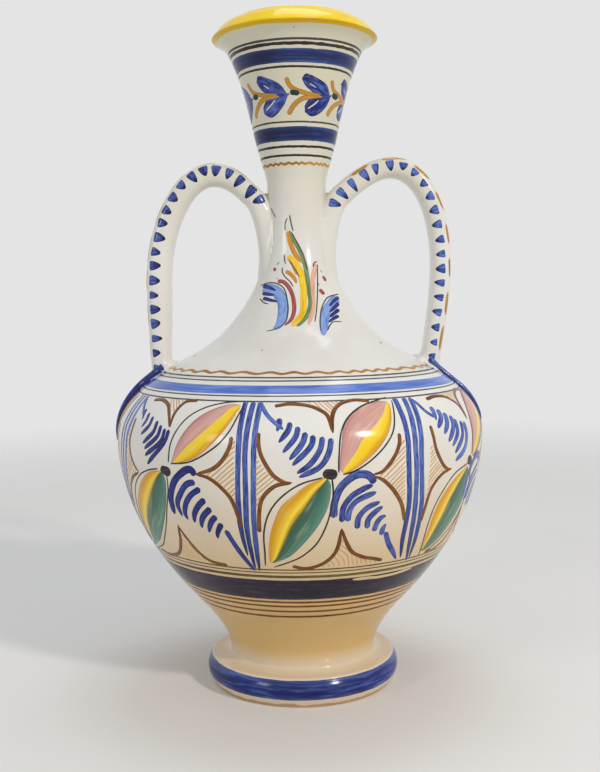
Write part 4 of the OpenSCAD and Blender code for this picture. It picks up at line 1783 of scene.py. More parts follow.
@dataclass(frozen=True)
class PanelPlan:
    """One way that a belly panel is laid out, in degrees from its middle and heights."""

    upper: Leaf
    lower: Leaf
    outlines: tuple[Path, ...]
    plume: tuple[Path, ...]
    frond: tuple[Path, ...]
    stems: tuple[Path, Path]
    braces: tuple[Path, ...]
    fields: tuple[Hatch, ...]
    uprights: tuple[Path, ...]
    eye: Path = ((-2.0, 163.5), (0.0, 163.0), (2.0, 162.6))
    fine: float = 3.4
    broad: float = 3.8
    upright: float = 3.8
    feather_paint: Pigment = Pigment.LEAF
    blunt_low: bool = True

    def marks(self) -> tuple[Mark, ...]:
        """The plan's brush marks.

        Returns:
            The marks, in the order that they are laid.
        """
        arch, *leaflets = self.frond
        way, fade, start = (1, 6.5, 2.4) if self.blunt_low else (-1, 10.0, 6.0)
        return (
            *(Mark(Pigment.BROWN, 2.6, path, 1.0, 15.0, 0.35, 0.12) for path in self.braces),
            *(Mark(self.feather_paint, self.fine, path, 1.7, 8.0, 0.3) for path in self.plume),
            *(Mark(self.feather_paint, self.broad, path[::way], 1.8, fade, 0.3) for path in leaflets),
            Mark(self.feather_paint, 4.8, arch, start, 2.2, 0.6, 0.11),
            Mark(Pigment.COBALT, 2.6, self.stems[0], 1.5, 4.0, 0.3, 0.12),
            Mark(self.feather_paint, 3.6, self.stems[1], 3.0, 17.0, 0.4, 0.12),
            *(Mark(Pigment.BLACK, 1.05, path, 3, 7, 0.5, 0.14) for path in self.outlines),
            # The uprights darken over most of their way down: paint gathering at the end, with painted shade on
            # the lower belly.
            *(Mark(Pigment.COBALT, self.upright, path, 1.4, 26.0, 0.85, 0.09, 0.15)
              for path in self.uprights),
            Mark(Pigment.BLACK, 6.2, self.eye, 3.1, 3.1, 0.6, 0.17),
        )


FIRST_PLAN = PanelPlan(
    upper=Leaf(
        ((3.0, 164), (2.7, 166), (2.8, 175), (3.4, 185), (4.8, 192), (7.5, 197.5), (11.5, 201), (16, 202.5),
         (19, 202.6)),
        ((3.3, 163.6), (3.9, 165.5), (7, 175), (10, 183), (14, 190), (18, 198), (19.6, 202)),
        ((3.6, 163), (4.6, 163.2), (8, 166.5), (12, 173), (16, 182), (18.5, 190), (20.3, 199.5),
         (20.1, 201.8)),
    ),
    lower=Leaf(
        ((-1.2, 160.6), (-2.5, 160), (-6, 157), (-10, 151), (-13.5, 143.5), (-16, 133), (-17.5, 122),
         (-18.3, 110), (-18.1, 107)),
        ((-1.0, 160.3), (-4.6, 150), (-8.1, 139), (-11.2, 128), (-13.4, 118), (-15.8, 109.5),
         (-17.5, 106.8)),
        ((-0.7, 160.2), (0.2, 156), (0, 147), (-1.5, 137), (-4, 128), (-7.5, 119), (-11.5, 111.5),
         (-15.5, 107.6), (-17.2, 106.6)),
    ),
    outlines=(
        ((2.4, 163.4), (2.4, 172), (2.9, 184), (4.4, 191), (7, 196.7), (11, 200.8), (16, 202.9),
         (20.4, 204.4)),
        ((3.4, 162), (7, 164.2), (11.2, 169.3), (15.4, 177), (18.6, 186), (20.5, 195), (21.8, 202.8)),
        ((-1.8, 161.2), (-8, 157.2), (-13.2, 149.7), (-16.8, 139.7), (-18.8, 127), (-19.4, 113),
         (-19.9, 104.2)),
        ((0.5, 160.6), (0.9, 152), (0.5, 142), (-1, 130), (-3.7, 119.6), (-7.6, 111.6), (-11.8, 107.2),
         (-17.2, 103.7)),
    ),
    plume=(
        ((-13.7, 195.1), (-13.7, 191.8), (-14.2, 188)), ((-10.7, 192.9), (-11.1, 187.9), (-13.6, 181.8)),
        ((-8.5, 190.6), (-9.2, 184.6), (-12.4, 175.8)), ((-6.3, 187.6), (-7.3, 181.2), (-10.9, 171.5)),
        ((-4.3, 185.8), (-5.2, 178.8), (-10, 168.5)),
        ((-1.8, 184.9), (-2.8, 176.4), (-5.5, 168.4), (-8.9, 163.8)),
        ((0.4, 183.9), (-0.4, 175.1), (-2.9, 167.1), (-8.3, 161.7)),
    ),
    frond=(
        ((1.3, 136.2), (1.3, 145.1), (2.9, 154.7), (6.4, 160.9), (9.8, 161.6), (11.6, 159), (12.3, 155.8)),
        ((3.7, 132.8), (4, 142.3), (6.1, 148.8), (9.4, 153.2), (12.2, 155)),
        ((5.5, 133.2), (5.9, 140.7), (8.2, 146.4), (13.2, 150.6)),
        ((8.8, 128.1), (8.7, 135.3), (11.1, 141.2), (14.7, 144.5)),
        ((11.6, 127.6), (11.8, 133.4), (13.7, 138.2), (15.8, 140.9)),
        ((14.2, 125.4), (14.5, 130.1), (15.7, 133.7), (17.2, 135.2)),
        ((17.1, 122.5), (17, 126.5), (17.7, 129.6)),
    ),
    stems=(((-20.1, 204.2), (-19.1, 201), (-16.9, 196.1), (-14.7, 192.3), (-12.4, 188.5)),
           ((18, 124.2), (20.6, 115.5), (26, 103.4))),
    braces=(
        ((-15.5, 201.4), (-11, 202.6), (-6, 202), (-2.5, 199.5), (0, 195.5), (0.8, 187)),
        ((14, 203), (9, 203.9), (5, 202.5), (2.5, 199.5), (1.2, 194.5), (0.9, 186.5)),
        ((-19.2, 187), (-19, 180), (-18, 172.5), (-15.5, 163.5), (-12.5, 158.7), (-10.2, 158.2)),
        ((-20.2, 127), (-19.7, 142), (-18, 150), (-14.5, 156.3), (-10.4, 158)),
        ((20.3, 184.5), (19.8, 178), (18, 169.5), (15, 163), (12, 160.9)),
        ((24.3, 130), (22, 141), (19, 149.5), (15.5, 157), (12, 160.4)),
        ((-11, 104.3), (-7, 102.7), (-3, 104), (0.5, 107.5), (3, 115), (3.7, 129)),
        ((20, 104.4), (16, 106.5), (12, 108.5), (8, 113), (5.5, 121), (3.9, 129)),
    ),
    fields=(
        Hatch(((-6, 203.8), (-2.8, 200.9), (-0.2, 197.2), (0.9, 193), (2, 197.6), (4, 201.3),
               (8, 203.8)), -52, 2.2),
        Hatch(((-20.5, 183), (-20, 178), (-18.9, 172), (-16.6, 164), (-13.4, 159.6), (-11.6, 158.2),
               (-14.8, 155.4), (-18.3, 149.4), (-20, 142), (-20.6, 133)), 40),
        Hatch(((20.9, 182), (20.4, 177), (18.7, 169.5), (15.6, 163.4), (13, 160.7), (16, 157.6),
               (19.6, 150), (22.6, 141.5), (23.8, 136), (22.9, 145), (22.2, 156), (22, 170),
               (21.9, 182)), 40),
        Hatch(((-3.2, 103.2), (0.5, 106.3), (2.9, 113), (3.8, 123), (5.4, 117), (8, 112), (12, 107.6),
               (16.5, 105), (19, 103.2)), -58, 2.6, bow=0.12),
    ),
    uprights=(
        ((23.2, 204.2), (23, 181), (23.5, 161), (24.7, 140), (25.8, 118), (27.7, 103.6)),
        ((27, 204), (25.3, 181), (25.8, 161), (27.2, 140), (28.8, 117), (31.4, 100.6)),
        ((29.4, 203.8), (27.7, 181), (28, 160), (29.7, 139), (31.3, 117), (32.4, 102)),
    ),
)
SECOND_PLAN = PanelPlan(
    upper=Leaf(
        ((3.0, 166.5), (4.1, 171), (6.0, 181), (9.1, 190.8), (12.8, 197.2), (17.6, 201.2), (21, 202.4),
         (23.2, 202)),
        ((3.5, 166.8), (4.6, 168.9), (8.9, 177.2), (14.3, 187.2), (17.9, 194), (20.6, 199.6),
         (23.2, 201.8)),
        ((4.2, 166.8), (8.1, 168.1), (12.6, 172.1), (17.1, 180), (20.8, 189.5), (23.4, 199.6),
         (23.5, 201.6)),
    ),
    lower=Leaf(
        ((-1.3, 161), (-7.2, 158.9), (-12.3, 153.2), (-17.3, 142.6), (-21, 132.9), (-24.2, 120.6),
         (-25.8, 110), (-26, 105)),
        ((-1.4, 160.6), (-3.8, 156.2), (-7.9, 145.5), (-12.7, 134.2), (-18, 122.1), (-22.6, 110.6),
         (-25.6, 104.6)),
        ((-0.9, 160), (0, 154), (-2, 139.9), (-6, 126.3), (-13, 113.6), (-20, 106.8), (-25.2, 104.4)),
    ),
    outlines=(
        ((1.8, 166.4), (3.0, 178.4), (5.0, 188.3), (8.1, 195.5), (12.7, 200.4), (18.4, 203), (23.5, 203.8)),
        ((2.7, 166.2), (10.1, 168.8), (17.4, 177.4), (21.9, 187.5), (24.4, 200.8)),
        ((-2.7, 161.8), (-7.7, 160), (-13.2, 155.2), (-18, 146.8), (-22, 135.3), (-25.6, 120),
         (-27.4, 104)),
        ((0.8, 160.2), (0.7, 152), (-0.7, 143.6), (-5.1, 125.6), (-12.5, 110.8), (-19, 104.8),
         (-26, 101.9)),
    ),
    plume=(
        ((-14, 196.3), (-13.6, 193.4), (-13.1, 190.4)), ((-10.8, 194.6), (-10.6, 190.2), (-11.9, 185.9)),
        ((-7.7, 192.9), (-8, 187.4), (-11.2, 181.3)), ((-4.8, 190.9), (-5.3, 184.1), (-9.8, 176.3)),
        ((-2.3, 188.9), (-3.1, 181.2), (-8.9, 173.1)), ((-0.3, 187), (-1.3, 178.8), (-8.6, 169.2)),
        ((1.5, 186.7), (-0.1, 177.9), (-7.8, 163.7)),
    ),
    frond=(
        ((0.8, 133.9), (0.8, 138.4), (1.1, 145.5), (3.3, 155.1), (6.9, 162.1), (9.9, 163.7), (11.4, 160.6)),
        ((3.8, 133.5), (3.3, 141.4), (5.2, 148.7), (8, 154.4), (11.3, 156.7)),
        ((6, 131.6), (5.4, 136), (6.8, 142.2), (9.4, 148.5), (12.6, 152.4)),
        ((8.2, 130.2), (9.1, 136.3), (11.1, 141.9), (13.7, 146.4)),
        ((10.5, 127.1), (11, 131.4), (12.7, 136.4), (15.2, 140.9)),
        ((12.8, 124.6), (13.4, 128.3), (14.8, 132.7), (16.6, 136)),
        ((15.4, 121.2), (15.6, 123.9), (16.6, 127.7), (17.9, 131.5)),
    ),
    stems=(((-19.7, 203.1), (-17.4, 198.5), (-15.4, 195.5), (-13.6, 192.6)),
           ((18.7, 127.6), (20.9, 117.5), (22.9, 109), (25.6, 100.6))),
    braces=(
        ((-13.3, 202), (-8.3, 202.4), (-3.6, 199.8), (-0.5, 193.8), (1.4, 187.6)),
        ((8, 203.8), (3.7, 202.7), (1.9, 199.8), (1.1, 195.1), (1.6, 187.6)),
        ((-17.3, 190.2), (-17.6, 182.8), (-18.4, 173.2), (-17.7, 165.3), (-15.6, 160.3), (-13.4, 157.4)),
        ((-27, 131), (-24.6, 140.1), (-21.8, 147.8), (-18, 153.1), (-13.6, 157)),
        ((22.7, 184.8), (22.3, 178.5), (20.1, 170.9), (17, 165.2), (11.5, 161.4)),
        ((24, 130), (23.6, 136), (22.2, 147), (19.3, 154.5), (15.6, 159.4), (11.5, 161.2)),
        ((-19.7, 102.9), (-13.3, 101.6), (-5.5, 105.5), (-1.1, 114.7), (0.8, 126.4)),
        ((15.7, 103), (9.6, 104.2), (5.6, 109.1), (2.4, 118.3), (0.8, 126.4)),
    ),
    fields=(
        Hatch(((-6.8, 203.8), (-3.2, 200.9), (-0.1, 195.8), (0.9, 193), (1.4, 198), (3, 202),
               (5.5, 203.8)), -52, 2.2),
        Hatch(((-20.3, 186), (-18.6, 182), (-19.3, 173), (-18.6, 166), (-16.4, 161), (-14.6, 157.6),
               (-18.4, 152.6), (-22.2, 147.4), (-24.6, 141), (-24.2, 150), (-22.6, 165), (-20.6, 176)), 40),
        Hatch(((23.1, 184), (22.8, 178), (20.7, 170.4), (17.4, 164.6), (13, 161.6), (16.2, 159.6),
               (19.9, 154), (22.8, 146), (23.6, 138), (23.4, 150), (23.8, 168), (24, 184)), 40),
        Hatch(((-6, 103.2), (-4.6, 106), (-0.6, 115), (0.8, 122), (2, 117.6), (5, 109),
               (9, 103.6)), -58, 2.6, bow=0.12),
    ),
    uprights=(
        ((24.9, 204.2), (24.9, 178), (24.2, 151), (23.8, 129), (24.4, 111)),
        ((27.4, 204.2), (26.9, 178), (26.4, 151.5), (25.7, 129), (25.9, 101.8)),
        ((29.8, 204.2), (29.2, 178), (28.6, 151.7), (27.9, 129.4), (27.3, 100.3)),
    ),
    eye=((-1.6, 162.2), (0.5, 161.4), (2.6, 160.6)),
    fine=3.2,
    broad=4.0,
    upright=3.35,
    feather_paint=Pigment.INK,
    blunt_low=False,
)
THIRD_PLAN = replace(
    FIRST_PLAN,
    lower=Leaf(
        ((-0.4, 157), (-3, 155.4), (-7.5, 152), (-11.8, 144.7), (-14.4, 134.8), (-15.2, 124.1),
         (-14.6, 112.4), (-14, 105.4)),
        ((-0.1, 156.4), (-4.1, 148.7), (-7.3, 138.2), (-9.8, 125.9), (-11.4, 115.1), (-13.6, 105.2)),
        ((0.6, 156), (2.2, 150), (2.4, 143.6), (2.1, 131.9), (-0.6, 121.6), (-4.9, 111.9), (-9.6, 106.4),
         (-13, 104.8)),
    ),
    outlines=(
        *FIRST_PLAN.outlines[:2],
        ((-0.4, 159), (-7.9, 154.9), (-12.6, 146.4), (-15.4, 136.5), (-16.4, 125.9), (-15.6, 115.9),
         (-13.9, 101.5)),
        ((1.8, 157), (3.6, 149), (4.2, 138.1), (3.8, 128), (1.6, 118.5), (-3.9, 109.4), (-10.9, 102.4)),
    ),
    plume=(
        ((-15.6, 197.1), (-15.5, 193.9), (-16, 189.1)), ((-13.4, 195.2), (-13.4, 190.6), (-16.3, 184.8)),
        ((-11, 192.8), (-11.6, 186.9), (-14.2, 180.8)), ((-8.7, 190.7), (-9.2, 183.7), (-12.5, 175.6)),
        ((-7.1, 188.4), (-7.4, 179.9), (-10.5, 171.7)), ((-3.9, 186.7), (-5.1, 176.6), (-9.2, 167.6)),
        ((-2.1, 185.9), (-2.1, 177.2), (-3.7, 168.5), (-8.7, 162.5)),
    ),
    stems=(((-22.3, 203.2), (-20.6, 199.8), (-18.8, 195), (-16.3, 191.1)), FIRST_PLAN.stems[1]),
    eye=((-0.6, 161.5), (1.2, 160.3), (3, 159.2)),
    fine=4.2,
    feather_paint=Pigment.COBALT,
)
FOURTH_PLAN = replace(
    FIRST_PLAN,
    uprights=tuple(
        ((26.6 + s, 204.2), (26.4 + s, 190), (25.6 + s, 178), (24 + s, 166), (21.8 + s, 153),
         (19.2 + s, 138),
         (17 + s, 122), (15.6 + s, 106))
        for s in (0, 2.7, 5.4)),
    upright=3.4,
)


@dataclass
class PaintedZone:
    """A zone of the wall that one painter fills with brush marks."""

    zone = "zone"
    hand = 0.2

    def paint(self, painter: Painter) -> None:
        """Lays the zone's marks, as each kind of zone does."""
        raise NotImplementedError

    def build(self, seed: int) -> list[Object]:
        """Paints the zone.

        Args:
            seed: Seed of the hand's small errors.

        Returns:
            One piece for each paint.
        """
        painter = Painter(self.zone, seed, self.hand)
        self.paint(painter)
        return painter.pieces()


@dataclass
class BellyPanels(PaintedZone):
    """Seven panels round the belly, each with two petals, two feathers, four braces and three uprights."""

    zone = "belly"
    hand = 0.16
    panels: tuple[tuple[float, PanelPlan], ...] = (
        (-145.2, SECOND_PLAN), (-93.4, FOURTH_PLAN), (-41.5, SECOND_PLAN), (8.0, FIRST_PLAN),
        (59.4, THIRD_PLAN), (111.2, SECOND_PLAN), (163.0, FIRST_PLAN),
    )
    gap: Path = ((18.5, 92.4), (24.5, 92.1), (29.3, 91.6), (36, 91.8), (46, 92.9))

    def paint(self, painter: Painter) -> None:
        """Lays each panel's hatching, petals and strokes, and the bare gap in the band below.

        Args:
            painter: The painter at the belly.
        """
        for middle, plan in self.panels:
            for rows in plan.fields:
                painter.hatch(rows, middle)
            painter.leaf(plan.upper, UPPER_PETAL, middle)
            painter.leaf(plan.lower, LOWER_PETAL, middle)
            for mark in plan.marks():
                painter.stroke(mark, middle)
        painter.stroke(Mark(Pigment.BARE, 2.8, self.gap, 9.0, 16.0, 0.0, 0.13))


@dataclass
class Garland(PaintedZone):
    """The leaf garland round the collar: seven pairs of blue leaves, ochre forks and green berries."""

    zone = "garland"
    hand = 0.25
    pairs: int = 7
    first: float = -0.5
    stray: float = 1.2

    def paint(self, painter: Painter) -> None:
        """Lays the leaves, forks, streaks and berries, pair by pair.

        Args:
            painter: The painter at the collar.
        """
        high = Leaf(((-44, 406), (-40, 408.4), (-25, 405.4), (-15, 402), (-8.6, 396.6)),
                    ((-44.4, 405), (-34, 403), (-22, 400), (-8.2, 396.2)),
                    ((-44, 404), (-40, 400), (-32, 397), (-20, 395.4), (-8.2, 395.8)))
        low = Leaf(((-41, 386), (-40.5, 389.6), (-35, 393.6), (-24, 395.2), (-8.2, 395.6)),
                   ((-40.8, 385.6), (-32, 388), (-20, 391), (-8.2, 395.3)),
                   ((-40, 384.6), (-32, 382.4), (-22, 384.6), (-13, 389.6), (-8.2, 395)))
        marks = (
            Mark(Pigment.OCHRE, 3.0, ((-10, 406.4), (-5, 401), (3, 398), (15, 396.6),
                                      (30, 396)), 1.3, 17, 0.1, 0.08),
            Mark(Pigment.OCHRE, 3.4, ((-9, 383.6), (-3, 389), (8, 393), (20, 394.6),
                                      (33, 394.8)), 1.5, 18, 0.1, 0.08),
            Mark(Pigment.STREAK, 0.9, ((-37.5, 387.4), (-30, 390.4), (-24, 393)), 1.2, 2.5, 0, 0.13),
            Mark(Pigment.STREAK, 0.6, ((-36, 402.6), (-28, 400.4)), 1, 2, 0, 0.13),
            Mark(Pigment.TEAL, 3.9, ((-5.4, 396.9), (-0.5, 396.7), (4.4, 396.5)), 1.9, 1.9, 0.7, 0.14),
            Mark(Pigment.LEAF, 1.2, ((-12, 396.2), (-8.5, 396), (-5.8, 396.4)), 0.6, 0.9, 0.9, 0.12),
        )
        for number in range(self.pairs):
            stray = painter.chance.uniform(-self.stray, self.stray)
            origin = self.first + 360 / self.pairs * number + stray
            for shape in (high, low):
                painter.leaf(shape, Pigment.LEAF.value, origin, 9, 22)
            for mark in marks:
                painter.stroke(mark, origin)


@dataclass
class NeckSpray(PaintedZone):
    """The spray of plumes and feathers at the foot of the neck, on the front and on the back."""

    zone = "spray"
    hand = 0.12
    middles: Pair = (0.0, 180.0)

    def marks(self) -> tuple[Mark, ...]:
        """The spray's brush marks, from the tip down.

        Returns:
            The marks, in the order that they are laid.
        """
        p = Pigment
        strokes = (
            (p.SALMON, 3.2, ((32, 287.5), (26, 283), (20, 275), (16, 262), (12, 254),
                             (8, 247.5)), 3, 9, 0.1, 0.06),
            (p.GREEN, 3.0, ((-15, 309.4), (-6, 303.4), (3, 297.4), (8.6, 291.2), (12.8, 283), (14, 272),
                            (13, 262), (8, 254), (-1, 246.5)), 4, 3, 0.1, 0.07),
            (p.YELLOW, 4.4, ((-17, 292.5), (-8, 290), (0, 286), (5, 281), (7, 272), (6, 262), (3, 254),
                             (-5, 246.5)),
             2.2, 4, 0.1, 0.08),
            (p.ORANGE, 3.2, ((-18, 309.5), (-14, 303), (-8, 297), (0, 292), (7, 288)), 1.5, 8, 0.1, 0.09),
            (p.ORANGE, 1.6, ((-15, 291), (-8, 286.6), (-1, 280)), 1, 5, 0.1, 0.10),
            (p.ORANGE, 2.7, ((-18, 282.6), (-12, 281.2), (-5, 278), (-1.6, 274.4)), 1.1, 5, 0.1, 0.08),
            (p.RED, 2.8, ((-28, 276.5), (-18, 275.2), (-10, 271), (-5, 264), (-4, 256), (-6, 250.5),
                          (-11, 247.2)),
             1.2, 9, 0.3, 0.08),
            (p.SKY, 7.4, ((-50, 270.5), (-38, 271), (-26, 269), (-17, 263), (-13.6, 255), (-15, 248),
                          (-19, 244.6)),
             3.2, 13, 0.2, 0.07),
            (p.SKY, 6.4, ((51, 264.4), (40, 262), (30, 257.4), (23.5, 251.5), (19, 244), (17.4, 240.5)),
             3, 14, 0.1, 0.07),
            (p.INK, 3.2, ((-52, 273.6), (-40, 272.1), (-28, 269.9)), 1.3, 10, 0.3, 0.11),
            (p.INK, 2.8, ((-47.6, 268.4), (-37, 267.6), (-28.4, 266.8)), 1.2, 8, 0.3, 0.11),
            (p.INK, 2.9, ((-43, 265.2), (-32, 263.8), (-22.6, 262.6)), 1.1, 10, 0.3, 0.11),
            (p.INK, 2.9, ((53.6, 265.2), (42, 262.4), (33, 259.2)), 1.2, 9, 0.3, 0.11),
            (p.INK, 2.9, ((48, 261.2), (38, 258.2), (30.4, 255.2)), 1.2, 9, 0.3, 0.11),
            (p.INK, 2.7, ((43.6, 257), (35, 254.4), (28.6, 252)), 1.1, 8, 0.3, 0.11),
            (p.INK, 2.6, ((39, 252.9), (31, 250.9), (25.4, 248.8)), 1, 8, 0.3, 0.11),
            (p.RED, 2.6, ((-39.5, 284.8), (-37, 284), (-35, 283)), 1.1, 1.4, 0.5, 0.09),
            (p.RED, 2.8, ((38, 279), (40, 277.6), (41.6, 276)), 1.1, 1.4, 0.5, 0.09),
            (p.RED, 3.0, ((28, 270.6), (30, 269), (32, 267)), 1.1, 1.4, 0.5, 0.09),
        )
        return (*(Mark(*stroke) for stroke in strokes), *self.lines())

    def lines(self) -> tuple[Mark, ...]:
        """Fine dark lines and ticks round the plumes.

        Returns:
            The marks, in the order that they are laid.
        """
        paths = (
            ((-23, 309.5), (-22.6, 314), (-20.6, 317), (-18, 318.2)),
            ((-14, 320), (-12, 316), (-9.6, 312), (-7.4, 309)),
            ((-22, 294), (-21, 290), (-18.6, 287.4)),
            ((-24, 285.4), (-23, 282), (-18, 279), (-10, 275.6), (-5, 272)),
            ((-31, 278.6), (-28.6, 277.4)),
            ((-58, 273.4), (-45, 275), (-30, 274.8), (-18, 271.4), (-11.6, 264), (-9.6, 256), (-11, 249),
             (-18, 245), (-25, 243.6)),
            ((24, 285.4), (28.6, 288.4), (34, 289)),
            ((33, 287), (30, 281), (24.6, 270), (19.6, 260), (13.6, 249)),
            ((16.8, 243), (18.4, 250), (24, 258.4), (36, 265), (57, 267.4)),
            ((22, 243.6), (26.5, 247.7), (31.4, 249.2), (38.6, 249)),
            ((-10, 308.6), (-2, 302.8), (5.6, 297), (10.8, 291), (14.8, 283)),
            ((-12.6, 289.4), (-3.8, 284), (3, 278.6)),
            ((38, 281.4), (36.6, 283.4)), ((28, 273), (27, 275)), ((-34.4, 287), (-31, 289)),
            ((-47.4, 265), (-39.6, 262.2), (-32.4, 261)),
        )
        return tuple(Mark(Pigment.LINE, 0.9, path, 1.5, 3.5, 0.6, 0.12) for path in paths)

    def paint(self, painter: Painter) -> None:
        """Lays the spray on both sides.

        Args:
            painter: The painter at the neck.
        """
        for middle in self.middles:
            for mark in self.marks():
                painter.stroke(mark, middle)


@dataclass
class ShoulderTails(PaintedZone):
    """The blue tails from the handles' feet down the shoulder, the root's crease and stray specks."""

    zone = "tails"
    hand = 0.1
    left: Path = ((-82, 217.4), (-82.6, 215.2), (-84, 211.5), (-85.2, 206), (-84.6, 198), (-82.8, 189),
                  (-81, 180), (-79.6, 171.5))
    right: Path = ((82.3, 219.7), (82.5, 218.3), (82.8, 216), (83.3, 212.5), (83.8, 207.8), (84.1, 201.5),
                   (84.4, 193.4), (84.5, 183.4), (84.5, 180.5))
    crease: Path = ((-76.7, 331.6), (-56.7, 324.2), (-44.1, 318.6))
    left_stand: tuple[float, ...] = (5.4, 4.75, 4.45, 3.75, 2.9, 2.0, 1.2, 0.3)
    right_stand: tuple[float, ...] = (6.2, 3.6, 2.7, 2.5, 2.75, 2.55, 2.2, 1.75, 1.4, 0.5)
    specks: tuple[Place, ...] = ((-72, 227.2, 1.3), (63, 234.3, 1.7), (-21, 232, 0.7), (140, 230, 0.9))

    def paint(self, painter: Painter) -> None:
        """Lays the tails, the crease and the specks.

        Args:
            painter: The painter at the shoulder.
        """
        left = Mark(Pigment.INK, 7.0, self.left, 3.4, 7.0, 0.4, 0.12)
        right = Mark(Pigment.COBALT, 4.0, self.right, 2.2, 4.0, 0.4, 0.12)
        painter.stroke(left, 0, np.array(self.left_stand))
        painter.stroke(right, 0, np.array(self.right_stand))
        painter.stroke(Mark(Pigment.LINE, 0.9, self.crease, 2.0, 4.0, 0.3, 0.12))
        for angle, z, size in self.specks:
            speck = ((angle - 0.5, z), (angle, z + 0.2), (angle + 0.5, z - 0.2))
            painter.stroke(Mark(Pigment.BLACK, size, speck, 0.5, 0.5))


RINGS = (
    Banding("collar_rings", (
        RingStripe(Pigment.LINE, 428.3, 1.3, 0.6), RingStripe(Pigment.BLACK, 425.8, 1.9, 0.8, 0.7),
        RingStripe(Pigment.NAVY, 419, 8.2, 0.8, 0.06), RingStripe(Pigment.BLACK, 412.6, 1.3, 0.8, 0.5),
        RingStripe(Pigment.LINE, 379.3, 1.1, 0.8, 0.4), RingStripe(Pigment.NAVY, 372, 9.0, 0.9, 0.06),
        RingStripe(Pigment.BLACK, 364.2, 1.5, 1.4, 0.7), RingStripe(Pigment.BLACK, 358.5, 1.4, 0.8, 0.5),
        RingStripe(Pigment.OCHRE, 353.4, 1.7, 1.0, 0.4, 0.45, 27),
    )),
    Banding("shoulder_rings", (
        RingStripe(Pigment.OCHRE, 219.3, 1.3, 1.2, 0.4, 0.5, 43),
        RingStripe(Pigment.LINE, 216.7, 0.8, 0.5, 0.5),
        RingStripe(Pigment.LINE, 214.9, 0.7, 0.5, 0.5), RingStripe(Pigment.BAND, 210.2, 4.6, 0.9, 0.08),
        RingStripe(Pigment.LINE, 206.8, 0.7, 0.5, 0.5), RingStripe(Pigment.LINE, 203.9, 0.8, 0.6, 0.5),
    )),
    Banding("bowl_rings", (
        RingStripe(Pigment.OLIVE, 101.7, 1.0, 0.8, 0.5), RingStripe(Pigment.OLIVE, 99.5, 0.8, 0.8, 0.5),
        RingStripe(Pigment.OLIVE, 96.5, 1.9, 0.6, 0.4), RingStripe(Pigment.PLUM, 86.2, 15.2, 1.0, 0.06),
        RingStripe(Pigment.RUST, 76.4, 1.6, 0.7, 0.5), RingStripe(Pigment.RUST, 72.9, 1.5, 0.7, 0.5),
        RingStripe(Pigment.RUST, 68.5, 1.5, 0.7, 0.5), RingStripe(Pigment.RUST, 64, 1.6, 0.7, 0.5),
    )),
    Banding("foot_band", (RingStripe(Pigment.FOOT, 12.2, 12.4, 0.8, 0.07),)),
)


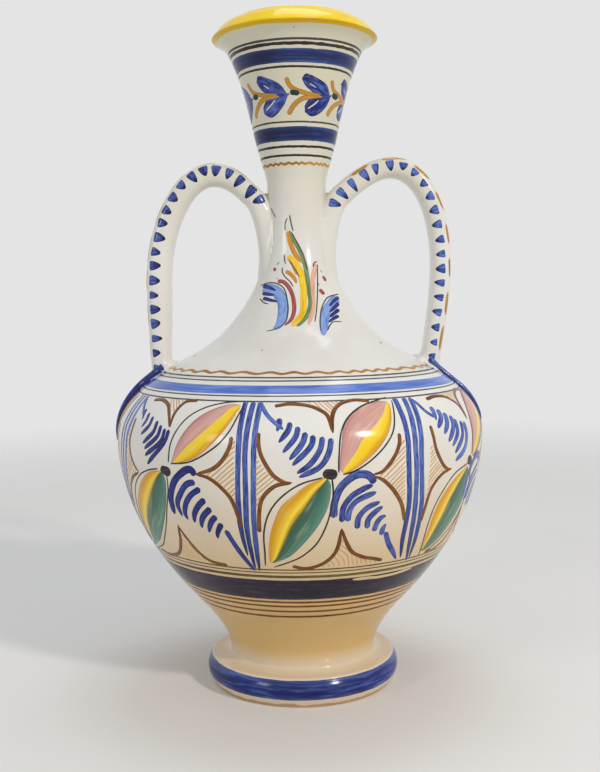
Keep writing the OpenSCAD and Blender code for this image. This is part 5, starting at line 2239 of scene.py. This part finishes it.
@dataclass
class Studio:
    """Pale floor, soft light, and the camera where the photograph was taken."""

    camera_at: Place = (0.000578, -0.70198, 0.26030)
    tilt: float = 4.567
    roll: float = -0.782
    lens: float = 47.36
    sensor: float = 36.0
    floor_r: float = 6.0
    clip: Pair = (0.01, 50.0)
    backdrop: Colour = (228, 228, 228)
    sky: Colour = (246, 247, 250)
    sky_strength: float = 0.5

    def build(self) -> None:
        """Sets the floor, the lights, the world and the camera."""
        self.floor()
        self.world()
        self.lamp("key", (1.35, -1.55, 1.3), (0, 0, 0.2), 0.2, 22.0, (255, 250, 242))
        self.lamp("fill", (-1.5, -1.3, 0.9), (0, 0, 0.22), 0.5, 5.5, (246, 249, 255))
        self.lamp("top", (0.1, 0.3, 1.9), (0, 0, 0.2), 0.8, 7.0, (240, 247, 255))
        self.camera()

    def floor(self) -> None:
        """A wide pale disc under the foot."""
        work = bmesh.new()
        bmesh.ops.create_circle(work, cap_ends=True, segments=96, radius=self.floor_r)
        mesh = bpy.data.meshes.new("floor")
        work.to_mesh(mesh)
        work.free()
        mesh.materials.append(FloorPaint("pale_floor", roughness=0.7, shine=0.2).material())
        show("floor", mesh)

    def world(self) -> None:
        """Even light from all round, and a pale backdrop for the camera and for reflections."""
        world = bpy.data.worlds.new("studio")
        bpy.context.scene.world = world
        world.use_nodes = True
        world.node_tree.nodes.clear()
        nodes = NodeMaker(world.node_tree)
        path = nodes.add("ShaderNodeLightPath").outputs
        mirrored = nodes.math("MAXIMUM", path["Is Glossy Ray"], path["Is Transmission Ray"])
        seen = nodes.math("MAXIMUM", path["Is Camera Ray"], mirrored)
        dim = {"Color": linear(self.sky), "Strength": self.sky_strength}
        light = nodes.add("ShaderNodeBackground", dim).outputs[0]
        bright = {"Color": linear(self.backdrop), "Strength": 1.0}
        shown = nodes.add("ShaderNodeBackground", bright).outputs[0]
        mixed = nodes.add("ShaderNodeMixShader", {0: seen, 1: light, 2: shown}).outputs[0]
        nodes.add("ShaderNodeOutputWorld", {"Surface": mixed})

    def lamp(self, name: str, place: Place, aim: Place, size: float, power: float, colour: Colour) -> None:
        """A soft square lamp.

        Args:
            name: Its name.
            place: Where it hangs, in metres.
            aim: Where it points.
            size: Length of its side in metres.
            power: Its power in watts.
            colour: Its colour.
        """
        data = bpy.data.lights.new(name, "AREA")
        data.size = size
        data.energy = power
        data.color = linear(colour)[:3]
        lamp = show(name, data)
        lamp.location = place
        lamp.rotation_euler = (Vector(aim) - Vector(place)).to_track_quat("-Z", "Y").to_euler()

    def camera(self) -> None:
        """The camera at the photograph's place, tilt and lens."""
        data = bpy.data.cameras.new("camera")
        data.lens = self.lens
        data.sensor_width = self.sensor
        data.clip_start, data.clip_end = self.clip
        camera = show("camera", data)
        tilt = Matrix.Rotation(math.radians(90 - self.tilt), 4, "X")
        roll = Matrix.Rotation(math.radians(self.roll), 4, "Z")
        camera.matrix_world = Matrix.Translation(self.camera_at) @ tilt @ roll
        bpy.context.scene.camera = camera
        bpy.context.scene.view_settings.view_transform = "Standard"


def target_wall(sides: int = 480) -> Object:
    """A fine copy of the outer wall and the foot's side for the rings to lie on, removed afterwards.

    Args:
        sides: Facets round it.

    Returns:
        The copy, which isn't part of the vase.
    """
    body = ThrownBody()
    brim = WALL.stations[-1].z
    outline = body.foot_ring() + body.outer(body.waist_z, brim) + [(5.0, brim), (5.0, 0.0)]
    start = outline_mesh("wall_target", outline)
    return LatheShape().run("wall_target", start, Sides=sides, Material=GLAZE.material())


def main() -> None:
    """Builds the vase, its paint and the studio."""
    logging.basicConfig(level=logging.INFO, format="%(message)s")
    ThrownBody().build()
    left = Handle(Side.LEFT, (57.0, 8.0), (95.0, 66.0), foot_down=11.0, crest_thick=15.5, flank_thick=17.0)
    right = Handle(Side.RIGHT, (64.0, 11.5),
    (98.0, 54.0), foot_down=8.0, crest_thick=14.0, flank_thick=14.0)
    marks = MarkShape()
    HandlePaint(left, left.build(), dab_turn=(50.0, 56.0), dab_span=(1.84, 4.8), dab_long=7.2, dab_wide=7.0,
                near_long=1.2, dash_turn=26.0, dash_wide=1.8, paint=Pigment.LEAF).build(marks, SEED)
    HandlePaint(right, right.build(), dab_turn=(66.0, 80.0), dab_span=(1.78, 4.77), dab_long=5.9,
                dab_wide=6.4, near_long=1.7, dash_turn=52.0, dash_wide=3.0,
                paint=Pigment.COBALT).build(marks, SEED + 20)
    rings, wall = RingShape(), target_wall()
    for number, banding in enumerate(RINGS):
        banding.build(rings, wall, SEED + 50 * number)
    bpy.data.objects.remove(wall)
    for number, zone in enumerate((BellyPanels(), Garland(), NeckSpray(), ShoulderTails()), 1):
        zone.build(SEED + number)
    Studio().build()


if __name__ == "__main__":
    main()
